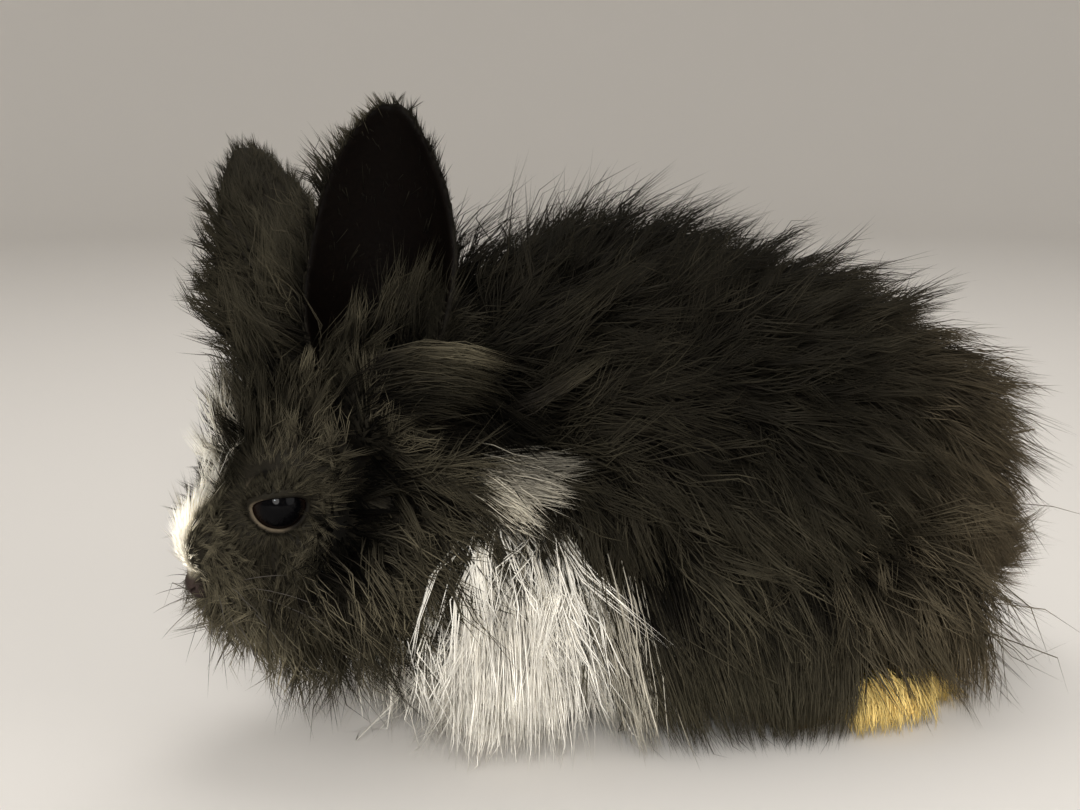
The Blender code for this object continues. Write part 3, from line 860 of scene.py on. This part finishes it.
def comb_ear(points, side, lie, kind):
    """Up the ear: soft on its back, fringed along its front rim, long low in the cup."""
    base, axis, opening, length = ear_axes(side)
    across_way = np.array(axis.cross(opening))
    ear = on_ear(points, side)
    share, forward, across = (values[ear] for values in ear_place(points, side))
    inside = ear_inside(points, side)[ear] > 0.5
    rim = smooth(0.55, 0.95, np.abs(across) / (EAR_WIDTH / 2))
    front = rim * (across * across_way[0] < 0)
    behind = rim - front
    fluff = 1.0 if side == "left" else 0.7
    back_length = 8.0 + (8.0 * smooth(0.5, 0.1, share) + 4.0 * front) * fluff
    back_length *= (1 - 0.75 * behind) * (1 - 0.5 * smooth(0.7, 0.95, share))
    rear_half = smooth(0, 4, across * across_way[0])
    cup_length = 1.5 + 10.0 * smooth(0.42, 0.12, share) * rear_half
    lie[ear] = np.array(axis) + across_way * (0.25 * rim * np.sign(across))[:, None]
    kind[ear, 0] = np.where(inside, cup_length, back_length)
    kind[ear, 1] = np.where(inside, 18, 26 * fluff**0.4 + 6 * front * fluff - 20 * behind)
    kind[ear, 2] = np.where(inside, 0.6, 1.3)
    foot = np.array(base + opening * 10)
    before_cup = ~ear & (lengths(points - foot) < 13)
    kind[before_cup, 0] *= 0.45


# The parting behind each eye, where the wool of the cheek turns back from the fur of the face
CREASE = np.array([(-71, -19, 80), (-69.5, -20, 65), (-78, -20, 43)], float)


def to_crease(points, side):
    """The way from the parting to each point, and the distance."""
    line = CREASE * (1, -SIDE_SIGN[side], 1)
    best_way = np.full_like(points, 1e3)
    best = np.full(len(points), 1e3)
    for start, end in zip(line, line[1:]):
        run = end - start
        share = np.clip((points - start) @ run / (run @ run), 0, 1)
        way = points - start - share[:, None] * run
        distance = lengths(way)
        closer = distance < best
        best[closer] = distance[closer]
        best_way[closer] = way[closer]
    return best_way, best


def comb_crease(points, side, lie, kind):
    """Wool parts along the crease and is short in it."""
    way, distance = to_crease(points, side)
    near = smooth(10, 1, distance)
    lie += way / np.maximum(distance, 0.3)[:, None] * near[:, None] * 1.7
    on_face = way[:, 0] < 0
    kind[:, 0] *= 1 - 0.6 * smooth(3, 0.5, distance)
    kind[:, 0] *= 1 - 0.4 * smooth(13, 5, distance) * on_face


def sampled(skin, count, draw):
    """Random points of the skin and their normals, evenly over its area."""
    mesh = skin.data
    mesh.calc_loop_triangles()
    corners = rows_of(mesh.loop_triangles, "vertices", np.int32)
    points = points_of(mesh)
    normals = rows_of(mesh.vertices, "normal").astype(np.float64)
    a, b, c = (points[corners[:, k]] for k in range(3))
    area = lengths(np.cross(b - a, c - a))
    chosen = draw.choice(len(corners), size=count, p=area / area.sum())
    u, v = draw.random((2, count))
    over = u + v > 1
    u[over], v[over] = 1 - u[over], 1 - v[over]
    shares = np.stack([1 - u - v, u, v], 1)[:, :, None]
    place = (points[corners[chosen]] * shares).sum(1)
    normal = (normals[corners[chosen]] * shares).sum(1)
    return place, normal / lengths(normal)[:, None]


def is_bare(points):
    """Where nothing grows: eyes, nose, lips and soles."""
    head = to_head(points)
    bare = lengths(head - BARE_NOSE) < BARE_NOSE_RADIUS
    bare |= (np.abs(head[:, 2] - MOUTH_Z) < 0.6) & (head[:, 0] < -24)
    for side in SIDE_SIGN:
        bare |= from_eye(points, side) < EYE_RADIUS + BARE_LID
    bare |= points[:, 2] < BARE_SOLE
    return bare


def unit(rows):
    return rows / np.maximum(np.linalg.norm(rows, axis=-1, keepdims=True), 1e-9)


PIECE_BUDGET = 190_000
LONGEST_SHORT = 10.0


def drift(points, span, seed):
    """A smooth value of about -1 to 1 that changes over roughly the span."""
    waves = np.random.default_rng(seed)
    total = np.zeros(len(points))
    for _ in range(5):
        way = waves.normal(0, 1, 3)
        way *= 2 * math.pi / span / np.linalg.norm(way) * waves.uniform(0.6, 1.3)
        total += np.sin(points @ way + waves.uniform(0, 2 * math.pi))
    return total / 2.2


def guide_lines(places, normals, steps, draw):
    """The centre line of each clump, as (clumps, steps + 1, 3), its length and waviness."""
    lie, length, rise, wave = combed(places)
    count = len(places)
    outward = np.arcsin(np.clip((lie * normals).sum(1), 0, 0.98))
    length = length * draw.uniform(0.78, 1.2, count) * (1 + 0.10 * drift(places, 22, 1))
    rise = np.radians(rise * draw.uniform(0.55, 1.4, count) * (1 + 0.25 * drift(places, 18, 2)))
    tangent = unit(lie - normals * (lie * normals).sum(1, keepdims=True))
    side = np.cross(normals, tangent)
    swing = draw.normal(0, 0.24, count) + 0.36 * drift(places, 24, 3)
    swing *= np.clip(wave, 0.3, 1.3)
    tangent = unit(tangent + side * np.tan(np.clip(swing, -0.9, 0.9))[:, None])
    side = np.cross(normals, tangent)
    phase = draw.uniform(0, 2 * math.pi, count)
    turns = draw.uniform(0.6, 1.3, count) * 2 * math.pi
    line = np.empty((count, steps + 1, 3))
    point = places - normals * 0.6
    line[:, 0] = point
    for k in range(1, steps + 1):
        share = (k - 0.5) / steps
        angle = np.maximum(rise * (1.5 - 1.1 * share), outward * (0.5 + 0.5 * share))
        sway = 0.24 * wave * np.sin(phase + turns * share)
        lift = 0.15 * wave * np.cos(1.3 * phase + turns * share)
        heading = tangent * np.cos(angle)[:, None] + normals * (np.sin(angle) + lift)[:, None]
        heading = heading + side * sway[:, None]
        heading[:, 2] -= 0.28 * share * np.minimum(1, length / 20)
        point = point + unit(heading) * (length / steps)[:, None]
        line[:, k] = point
    return line, length, wave


UV_PATCH = 0.003


def strand_mesh(name, line, across, width, flat, colours, root_uv):
    """Closed three-sided tapered strands, all in one mesh.

    line is (strands, rings + 1, 3), its last point the tip; width and flat are the widths across
    the lie and away from the skin at each ring; colours follow the points of the line.
    """
    count, points, _ = line.shape
    rings = points - 1
    heading = np.empty_like(line)
    heading[:, 1:] = line[:, 1:] - line[:, :-1]
    heading[:, 0] = heading[:, 1]
    heading = unit(heading)
    across = across[:, None, :]
    across = unit(across - heading * (across * heading).sum(2, keepdims=True))
    up = np.cross(heading, across)
    body = line[:, :rings]
    half = across[:, :rings] * width[..., None] / 2
    third = up[:, :rings] * flat[..., None] / 3
    loops = np.stack([body - half - third, body + half - third, body + third * 2], 2)
    loops = loops.reshape(count, rings * 3, 3)
    verts = np.concatenate([loops, line[:, -1:]], 1)
    verts[..., 2] = np.maximum(verts[..., 2], 0.35)
    each = rings * 3 + 1
    pattern = [(0, 1, 2)]
    for r in range(rings - 1):
        for a, b in ((0, 1), (1, 2), (2, 0)):
            pattern.append((r * 3 + a, r * 3 + 3 + a, r * 3 + 3 + b))
            pattern.append((r * 3 + a, r * 3 + 3 + b, r * 3 + b))
    last = (rings - 1) * 3
    pattern += [(last + a, each - 1, last + b) for a, b in ((0, 1), (1, 2), (2, 0))]
    pattern = np.array(pattern)
    faces = (pattern[None] + (np.arange(count) * each)[:, None, None]).reshape(-1, 3)
    verts = verts.reshape(-1, 3) * MM + np.array(SHIFT) * MM

    mesh = bpy.data.meshes.new(name)
    mesh.vertices.add(len(verts))
    mesh.vertices.foreach_set("co", verts.astype(np.float32).ravel())
    mesh.loops.add(faces.size)
    mesh.loops.foreach_set("vertex_index", faces.astype(np.int32).ravel())
    mesh.polygons.add(len(faces))
    mesh.polygons.foreach_set("loop_start", np.arange(0, faces.size, 3, dtype=np.int32))
    mesh.update(calc_edges=True)
    mesh.shade_smooth()

    ring_colours = np.repeat(colours[:, :rings], 3, axis=1)
    full = np.concatenate([ring_colours, colours[:, -1:]], 1).reshape(-1, 3)
    paint(mesh, full)
    corner = np.array([(0.0, 0.0), (1.0, 0.0), (0.5, 0.3)]) * UV_PATCH
    climb = np.arange(rings)[:, None, None] / rings * np.array((0.0, 0.7)) * UV_PATCH
    patch = (corner[None] + climb).reshape(-1, 2)
    patch = np.concatenate([patch, [[0.5 * UV_PATCH, UV_PATCH]]], 0)
    uv = (root_uv[:, None, :] + patch[None]).reshape(-1, 2)
    layer = mesh.uv_layers.new(name="OFBake")
    layer.data.foreach_set("uv", uv[faces.ravel()].astype(np.float32).ravel())
    return linked(name, mesh)


def unwrapped(points):
    """The place of each root on an unwrap of the skin: trunk, head, ears and legs as islands."""
    x, y, z = points.T
    turn = np.arctan2(y, z - 50) / (2 * math.pi) + 0.5
    uv = np.stack([0.02 + 0.46 * (x + 65) / 180, 0.02 + 0.46 * turn], 1)
    head = to_head(points)
    front = x < -50
    around = np.arctan2(head[:, 1], head[:, 2] + 4) / (2 * math.pi) + 0.5
    face = np.stack([0.52 + 0.46 * (head[:, 0] + 40) / 90, 0.02 + 0.46 * around], 1)
    uv[front] = face[front]
    legs = z < 16
    flat = np.stack([0.52 + 0.46 * (x + 60) / 170, 0.54 + 0.42 * (y + 55) / 110], 1)
    uv[legs] = flat[legs]
    for index, side in enumerate(SIDE_SIGN):
        share, forward, across = ear_place(points, side)
        ear = on_ear(points, side)
        inside = ear_inside(points, side)
        sideways = 0.02 + 0.22 * (across + EAR_NEAR) / (2 * EAR_NEAR) + 0.24 * index
        upward = 0.52 + 0.22 * share + 0.24 * (inside > 0.5)
        uv[ear] = np.stack([sideways, upward], 1)[ear]
    return np.clip(uv, 0.002, 0.994)


# Each kind of strand: rings below its tip, share of the triangles, widths, strands in a clump
KINDS = {
    "fur": (1, 0.14, (1.0,), 4.0),
    "wool": (2, 0.56, (0.9, 0.85), 12.0),
    "curl": (4, 0.30, (0.7, 1.0, 0.95, 0.7), 5.0),
}
COAT_BUDGET = 1_320_000
CANDIDATES = 420_000


def triangles_of(steps):
    return 6 * (steps - 1) + 4


def make_coat(skin):
    draw = np.random.default_rng(SEED)
    places, normals = sampled(skin, CANDIDATES, draw)
    keep = ~is_bare(places)
    places, normals = places[keep], normals[keep]
    lie, length, rise, wave = combed(places)
    wanted = 1 / np.clip(length, 3, 40) ** 0.6
    for side in SIDE_SIGN:
        cup = ear_inside(places, side) > 0.5
        share = ear_place(places, side)[0]
        behind = places[cup, 0] > EAR_BASE[side].x
        wanted[cup] *= 0.03 + (0.1 + 0.5 * behind) * smooth(0.5, 0.15, share[cup])
        wanted *= 1 + 3 * smooth(13, 8, from_eye(places, side))
    wanted[(normals[:, 2] < -0.6) & (places[:, 0] > -50)] *= 0.35
    order = np.argsort(-(draw.random(len(places)) ** (1 / wanted)))

    is_long = length[order] > LONGEST_SHORT
    curly = draw.random(len(order)) < 0.12 + 0.16 * wave[order]
    chosen = {
        "fur": order[~is_long],
        "wool": order[is_long & ~curly],
        "curl": order[is_long & curly],
    }
    made = []
    for kind, (steps, share, widths, spacing) in KINDS.items():
        count = int(COAT_BUDGET * share / triangles_of(steps))
        pick = chosen[kind][: count]
        made += grow_strands(kind, places[pick], normals[pick], draw)
    return made


REACH = 3.0


def within_reach(strand):
    """Strands shortened where they would reach far past the solids' locks."""
    low, high = (np.array(corner) / MM - np.array(SHIFT) for corner in CAD_BOX)
    low[2] = -100.0
    root, tip = strand[:, 0], strand[:, -1]
    stretch = tip - root
    stretch[np.abs(stretch) < 1e-6] = 1e-6
    allowed = np.where(stretch > 0, high + REACH - root, low - REACH - root) / stretch
    share = np.clip(allowed.min(1), 0.3, 1.0)
    return root[:, None] + (strand - root[:, None]) * share[:, None, None]


def owners(roots, clumps):
    """The nearest clump of each root."""
    tree = KDTree(len(clumps))
    for index, place in enumerate(roots[clumps]):
        tree.insert(place, index)
    tree.balance()
    return np.array([tree.find(root)[1] for root in roots])


def curled(strand, heading, across, wave, share, draw):
    """The strands wound in a loose helix round their own lines."""
    count = len(strand)
    up = np.cross(heading, across)
    radius = draw.uniform(0.5, 1.3, count) * np.clip(wave, 0.6, 2.0)
    start = draw.uniform(0, 2 * math.pi, count)[:, None]
    turn = start + share[None] * (2 * math.pi * draw.uniform(0.7, 1.4, count)[:, None])
    swell = radius[:, None] * np.minimum(1, 1.8 * share)[None]
    strand = strand + across[:, None] * (np.cos(turn) * swell)[..., None]
    return strand + up[:, None] * (np.sin(turn) * swell)[..., None]


# A paler brow tuft and painted shade in the hollow before the eye, in the head's frame: place, radii
# where it starts and is full, and change
BROW = ((-1, 12, 14), (7, 3), 0.95)
# Painted shade in the hollow before the eye
HOLLOW_PAINTED_SHADE = ((-13, 8, 18), (8, 3), -0.5)


def tone_and_shade_of(roots):
    """How light the coat is painted at each root, from place alone: its own tone, and painted shade up
    the crown, before the eye, in the parting and behind the ear.
    """
    tone = 1 + 0.14 * drift(roots, 30, 4) + 0.13 * drift(roots, 12, 5)
    head = to_head(roots)
    in_front = roots[:, 0] < -60
    muzzle = 0.14 * smooth(4, -10, head[:, 0]) + 1.4 * smooth(-14, -25, head[:, 0])
    tone *= 1 + muzzle * in_front
    # Painted shade: darker up the crown and ears
    tone *= 1 - 0.2 * smooth(10, 20, head[:, 2]) * in_front
    mirrored = np.stack([head[:, 0], np.abs(head[:, 1]), head[:, 2]], 1)
    for place, (start, full), change in (BROW, HOLLOW_PAINTED_SHADE):
        tone *= 1 + change * smooth(start, full, lengths(mirrored - np.array(place)))
    for side in SIDE_SIGN:
        way, distance = to_crease(roots, side)
        # Painted shade in the parting behind each eye, with the fur paler along both its edges
        edge = smooth(12, 7, distance) * smooth(2.5, 5, distance)
        tone *= 1 + edge * np.where(way[:, 0] > 0, 0.7, 0.3)
        tone *= 1 - 0.92 * smooth(5.5, 2.5, distance)
    # Painted shade in the hollow behind each ear, under the curved locks
    from_shaded_hollow = np.hypot((roots[:, 0] + 53) / 14, (roots[:, 2] - 76) / 6)
    return tone * (1 - 0.75 * smooth(1.4, 0.6, from_shaded_hollow) * (np.abs(roots[:, 1]) > 12))


STRAY_SHARE = 0.26
WHITE_EVENNESS = 0.7
WHITE_TONE = 1.08


def grow_strands(kind, roots, normals, draw):
    """Strands gathered in clumps: each starts at its own root and closes on its clump's tip."""
    steps, _, widths, spacing = KINDS[kind]
    count = len(roots)
    clumps = draw.choice(count, max(8, int(count / spacing)), replace=False)
    line, length, wave = guide_lines(roots[clumps], normals[clumps], steps, draw)
    owner = owners(roots, clumps)

    guide = line[owner]
    offset = roots - roots[clumps][owner]
    share = np.linspace(0, 1, steps + 1)
    closing = draw.uniform(0.25, 0.78, len(clumps))[owner]
    gather = 1 - closing[:, None] * share[None] ** 1.1
    stray = draw.random(count) < STRAY_SHARE
    gather[stray] = 1.0
    stretch = draw.uniform(0.7, 1.12, count)
    strand = guide[:, :1] + (guide - guide[:, :1]) * stretch[:, None, None]
    strand = strand + offset[:, None] * gather[..., None]
    jitter = draw.normal(0, 1, (count, steps + 1, 3)) * (length[owner] * 0.03)[:, None, None]
    jitter *= (share**1.2)[None, :, None]
    jitter[stray] *= 2.0
    strand = within_reach(strand + jitter)
    heading = unit(strand[:, -1] - strand[:, 0])
    across = unit(np.cross(heading, normals) + draw.normal(0, 0.05, (count, 3)))
    if kind == "curl":
        strand = curled(strand, heading, across, wave[owner], share, draw)

    size = np.clip(length[owner] / 30, 0.1, 1.0)
    base = (0.17 + 0.17 * size) * draw.uniform(0.7, 1.3, count)
    width = base[:, None] * np.array(widths)[None]
    flat = width * 0.5

    shade = draw.uniform(0.74, 1.3, len(clumps))[owner] * draw.uniform(0.86, 1.14, count)
    shade *= tone_and_shade_of(roots)
    shade = mixed(shade, WHITE_TONE, WHITE_EVENNESS * whiteness(roots))
    colours = strand_colours(roots, share, shade)
    root_uv = unwrapped(roots[clumps])[owner]

    per_piece = PIECE_BUDGET // triangles_of(steps)
    by_x = np.argsort(roots[:, 0], kind="stable")
    pieces = []
    material = painted_material(kind, COAT_ROUGHNESS, COAT_SPECKLE)
    for number, start in enumerate(range(0, count, per_piece)):
        rows = by_x[start : start + per_piece]
        parts = [values[rows] for values in (strand, across, width, flat, colours, root_uv)]
        obj = strand_mesh(f"coat_{kind}_{number + 1}", *parts)
        obj.data.materials.append(material)
        pieces.append(obj)
    return pieces


def strand_colours(roots, share, shade):
    """Colours of the points of each strand, as (strands, points, 3)."""
    points = len(share)
    along = np.tile(share, len(roots))
    colours = coat_colour(np.repeat(roots, points, axis=0), along, np.repeat(shade, points))
    return colours.reshape(len(roots), points, 3)


# Locks seen one by one: root, bend and tip, spread of the roots, strands, tone and how much it closes
SINGLE_LOCKS = [
    ((-68, -19, 84), (-62, -34, 98), (-41, -34, 89), 1.4, 200, 1.8, 0.5),
    # The next two locks lie under the first, their tones lowered as painted shade
    ((-68, -20, 81), (-62, -35, 94), (-42, -34, 85), 2.2, 220, 0.75, 0.4),
    ((-67, -21, 79), (-60, -35, 89), (-44, -33, 81), 2.2, 180, 0.32, 0.3),
    ((-42, -25, 64), (-35, -33, 67), (-24, -37, 67), 2.0, 130, 0.35, 0.2),
    ((-42, -25, 63), (-37, -33, 63), (-27, -38, 60), 2.2, 170, 0.70, 0.3),
    ((-43, -25, 61), (-40, -33, 59), (-34, -37, 54), 2.0, 140, 1.20, 0.3),
    ((-30, -24, 32), (-31, -37, 18), (-31, -38, 1), 3.0, 200, 1.0, 0.2),
    ((-37, -24, 32), (-39, -37, 18), (-40, -38, 1), 3.0, 220, 1.0, 0.2),
    ((-44, -23, 32), (-47, -36, 18), (-50, -36, 1), 3.0, 200, 1.0, 0.2),
    ((-37, -28, 79), (-30, -38, 83), (-19, -38, 92), 1.2, 120, 2.3, 0.6),
    ((-35, -23, 92), (-29, -35, 97), (-16, -34, 107), 2.6, 170, 1.35, 0.5),
    ((-28, -24, 96), (-22, -35, 102), (-8, -33, 111), 2.6, 150, 1.1, 0.5),
    ((-66, -15, 92), (-64, -21, 101), (-60, -21, 111), 1.5, 50, 0.9, 0.4),
    ((-62, -16, 92), (-58, -23, 103), (-54, -22, 115), 1.8, 70, 0.8, 0.4),
    ((-57, -16, 92), (-54, -24, 102), (-50, -24, 116), 2.0, 90, 0.8, 0.4),
    ((-70, -16, 90), (-70, -21, 99), (-69, -22, 106), 1.2, 30, 1.0, 0.4),
    ((-79, -14, 84), (-82, -19, 88), (-80, -20, 93), 1.3, 60, 1.5, 0.6),
    ((-84, -8, 82), (-92, -9, 94), (-94, -8, 106), 2.2, 120, 0.9, 0.4),
    ((-80, 0, 86), (-86, 0, 102), (-84, 2, 118), 2.6, 140, 0.9, 0.4),
    ((-76, -4, 88), (-79, -6, 104), (-74, -6, 122), 2.6, 140, 0.9, 0.4),
    ((-16, -30, 36), (-15, -44, 20), (-12, -45, 0), 3.4, 140, 0.9, 0.4),
    ((-10, -30, 33), (-9, -45, 21), (-4, -47, 1), 3.8, 170, 1.15, 0.3),
    ((-5, -31, 37), (-3, -46, 22), (1, -48, 0), 3.4, 180, 0.95, 0.5),
    ((2, -31, 33), (3, -46, 20), (9, -48, 1), 4.0, 200, 1.2, 0.3),
    ((8, -32, 36), (9, -47, 22), (13, -49, 0), 3.6, 200, 1.0, 0.4),
    ((15, -32, 34), (16, -48, 20), (20, -49, 1), 3.8, 240, 1.2, 0.3),
    ((20, -33, 34), (21, -48, 20), (20, -49, 0), 3.2, 220, 1.0, 0.3),
    ((27, -34, 34), (28, -49, 20), (24, -49, 0), 3.2, 380, 1.1, 0.1),
    ((33, -34, 34), (34, -50, 20), (29, -50, 0), 3.2, 380, 1.1, 0.1),
    ((37, -34, 34), (39, -50, 21), (34, -50, 0), 2.4, 260, 1.1, 0.2),
    ((40, -41, 9), (40, -50, 9), (38, -52, 0), 1.2, 90, 1.0, 0.1),
    ((44, -41, 9), (44, -50, 10), (42, -52, 0), 1.4, 120, 1.1, 0.1),
    ((49, -41, 9), (49, -51, 10), (47, -52, 0), 1.4, 140, 1.15, 0.1),
    ((54, -41, 9), (54, -50, 10), (53, -51, 0), 1.4, 120, 1.1, 0.1),
    ((58, -40, 9), (59, -49, 9), (58, -50, 0), 1.2, 70, 0.8, 0.1),
    ((-84, -21, 48), (-80, -38, 45), (-77, -34, 36), 2.2, 10, 2.2, 0.2),
    ((-80, -23, 45), (-72, -40, 44), (-74, -36, 33), 2.6, 14, 2.2, 0.1),
    ((-83, -22, 40), (-86, -38, 38), (-77, -37, 31), 2.6, 14, 2.2, 0.1),
    ((-76, -24, 40), (-67, -40, 38), (-70, -36, 29), 2.4, 12, 2.2, 0.1),
    ((-86, -20, 36), (-94, -34, 30), (-84, -36, 25), 2.4, 12, 2.0, 0.1),
    ((66, -33, 34), (71, -46, 20), (69, -46, 1), 3.0, 200, 1.2, 0.1),
    ((72, -30, 34), (78, -43, 20), (76, -43, 1), 3.0, 200, 1.2, 0.1),
]


def make_single_locks():
    """Each lock as strands that leave its root apart and close on its tip, each with a sway."""
    draw = np.random.default_rng(SEED + 1)
    steps = 4
    share = np.linspace(0, 1, steps + 1)
    strands, roots, shades = [], [], []
    for root, bend, tip, radius, count, pale, closing in SINGLE_LOCKS:
        root, bend, tip = (np.array(point, float) for point in (root, bend, tip))
        s = share[:, None]
        line = root * (1 - s) ** 2 + bend * 2 * s * (1 - s) + tip * s**2
        spread = draw.normal(0, radius, (count, 1, 3)) * (1 - closing * s[None])
        sway = draw.normal(0, 0.7, (count, steps + 1, 3)) * s[None]
        reach = draw.uniform(0.65, 1.08, (count, 1, 1))
        strands.append(root + (line - root)[None] * reach + spread + sway)
        roots.append(np.repeat(root[None], count, 0))
        shades.append(draw.uniform(0.75, 1.25, count) * pale)
    strand, root, shade = (np.concatenate(parts) for parts in (strands, roots, shades))
    count = len(strand)
    width = draw.uniform(0.2, 0.36, count)[:, None] * np.array((0.8, 1.0, 0.9, 0.65))[None]
    across = unit(np.cross(strand[:, -1] - strand[:, 0], draw.normal(0, 1, (count, 3))))
    colours = strand_colours(root, share, shade)
    uv = unwrapped(root)
    obj = strand_mesh("coat_locks", strand, across, width, width * 0.5, colours, uv)
    obj.data.materials.append(painted_material("locks", COAT_ROUGHNESS, COAT_SPECKLE))
    return obj


WHISKER_LENGTH = 26.0


def make_whiskers():
    """Fine stiff hairs from the lip pads, in three rows on each side."""
    draw = np.random.default_rng(SEED + 2)
    steps = 5
    share = np.linspace(0, 1, steps + 1)
    lines = []
    for sign in SIDE_SIGN.values():
        for row in range(3):
            for place in range(4):
                local = Vector((-31 + 2.4 * place, (5.0 + 0.9 * place) * sign, -3.0 - 2.0 * row))
                way = Vector((-0.55 + 0.35 * place, (1.0 + 0.1 * place) * sign, 0.25 - 0.3 * row))
                root = np.array(HEAD_FRAME @ local)
                heading = np.array((HEAD_TURN.to_3x3() @ way).normalized())
                length = WHISKER_LENGTH * draw.uniform(0.55, 1.0)
                line = root + heading * (share * length)[:, None]
                line[:, 2] -= 5.0 * share**2 * draw.uniform(0.3, 1.0)
                lines.append(line)
    line = within_reach(np.array(lines))
    count = len(line)
    width = np.tile((0.22, 0.2, 0.17, 0.13, 0.09), (count, 1))
    across = unit(np.cross(line[:, -1] - line[:, 0], (0.0, 0.0, 1.0)))
    colours = np.full((count, steps + 1, 3), (0.10, 0.09, 0.08))
    obj = strand_mesh("whiskers", line, across, width, width, colours, unwrapped(line[:, 0]))
    obj.data.materials.append(painted_material("whiskers", 0.4, 400))
    return obj


# The eyes


def make_eye(side):
    bm = bmesh.new()
    bmesh.ops.create_uvsphere(bm, u_segments=64, v_segments=40, radius=1)
    for vert in bm.verts:
        bulge = max(0.0, vert.co.z) ** 6
        vert.co *= EYE_RADIUS * (1 + 0.05 * bulge)
    outward = eye_axes(side)[0]
    turn = Vector((0, 0, 1)).rotation_difference(outward).to_matrix().to_4x4()
    eye = object_from(bm, "eye_ball_" + side)
    eye.data.transform(turn)
    eye.data.transform(Matrix.Translation(eye_centre(side)))
    eye.data.shade_smooth()
    eye.data.materials.append(eye_material(side, outward))
    return eye


# The eye's colours, from its rim (0) to the middle of the pupil
EYE_STOPS = [
    (0.0, (0.040, 0.028, 0.020)),
    (0.35, (0.016, 0.010, 0.007)),
    (0.50, (0.007, 0.004, 0.003)),
    (0.70, (0.004, 0.0025, 0.002)),
    (0.80, (0.0010, 0.0010, 0.0013)),
]


def eye_material(side, outward):
    """A wide black pupil and a dark brown iris with a paler rim, wet and smooth."""
    made, shader = new_material("eye_" + side)
    links = made.node_tree.links
    where = add_node(made, "TexCoord")
    from_centre = add_node(made, "VectorMath")
    from_centre.operation = "SUBTRACT"
    from_centre.inputs[1].default_value = TO_MODEL @ eye_centre(side)
    facing = add_node(made, "VectorMath")
    facing.operation = "DOT_PRODUCT"
    facing.inputs[1].default_value = tuple(outward / (EYE_RADIUS * MM))
    ramp = add_node(made, "ValToRGB")
    stops = ramp.color_ramp.elements
    for stop, (position, colour) in zip((stops[0], stops[1]), (EYE_STOPS[0], EYE_STOPS[-1])):
        stop.position = position
        stop.color = (*colour, 1)
    for position, colour in EYE_STOPS[1:-1]:
        stops.new(position).color = (*colour, 1)
    links.new(where.outputs["Object"], from_centre.inputs[0])
    links.new(from_centre.outputs["Vector"], facing.inputs[0])
    links.new(facing.outputs["Value"], ramp.inputs["Fac"])
    links.new(ramp.outputs["Color"], shader.inputs["Base Color"])
    shader.inputs["Roughness"].default_value = 0.04
    shader.inputs["Specular IOR Level"].default_value = 0.065
    return made


# Claws

CLAW_LENGTH = 3.6
CLAW_RADIUS = 0.62
CLAW_RINGS = 5
CLAW_SIDES = 8


def add_claw(bm, root):
    """A claw that bends down, narrow from side to side."""
    angles = [2 * math.pi * j / CLAW_SIDES for j in range(CLAW_SIDES)]
    rings = []
    for k in range(CLAW_RINGS):
        share = k / CLAW_RINGS
        centre = root + Vector((-CLAW_LENGTH * share, 0, 0.3 - 1.5 * share * share))
        size = CLAW_RADIUS * (1 - share) ** 0.7
        around = [Vector((0, math.cos(a) * size * 0.7, math.sin(a) * size)) for a in angles]
        rings.append([bm.verts.new(centre + out) for out in around])
    tip = bm.verts.new(root + Vector((-CLAW_LENGTH, 0, -1.3)))
    bm.faces.new(rings[0])
    bridge(bm, rings)
    for j in range(CLAW_SIDES):
        bm.faces.new((rings[-1][j], rings[-1][(j + 1) % CLAW_SIDES], tip))


def make_claws():
    bm = bmesh.new()
    for side in SIDE_SIGN:
        for place, foot in ((FOREPAW[side], FORE_TOES), (HIND_FOOT[side], HIND_TOES)):
            for (x, y, z), radii in toes(*foot):
                add_claw(bm, place + Vector((x - radii[0] * 0.75, y, z - 0.2)))
    claws = object_from(bm, "claws")
    claws.data.shade_smooth()
    made, shader = new_material("claw")
    shader.inputs["Base Color"].default_value = (0.34, 0.25, 0.17, 1)
    shader.inputs["Roughness"].default_value = 0.35
    add_bump(made, shader, 1500, 0.1, 0.0001)
    claws.data.materials.append(made)
    return claws


def to_model(obj):
    obj.data.transform(TO_MODEL)


def main():
    place_camera()
    place_lights()
    place_floor()
    skin = make_skin()
    coat = make_coat(skin) + [make_single_locks(), make_whiskers()]
    to_model(skin)
    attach(skin, BODY)
    flesh = ["head", "torso", "tail"]
    for side in SIDE_SIGN:
        flesh += ["ear_" + side, "foreleg_" + side, "hindleg_" + side]
    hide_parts(*flesh)
    for piece in coat:
        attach(piece, BODY)
    for side in SIDE_SIGN:
        eye = make_eye(side)
        to_model(eye)
        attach(eye, BODY)
        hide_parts("eye_" + side)
    claws = make_claws()
    to_model(claws)
    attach(claws, BODY)


main()
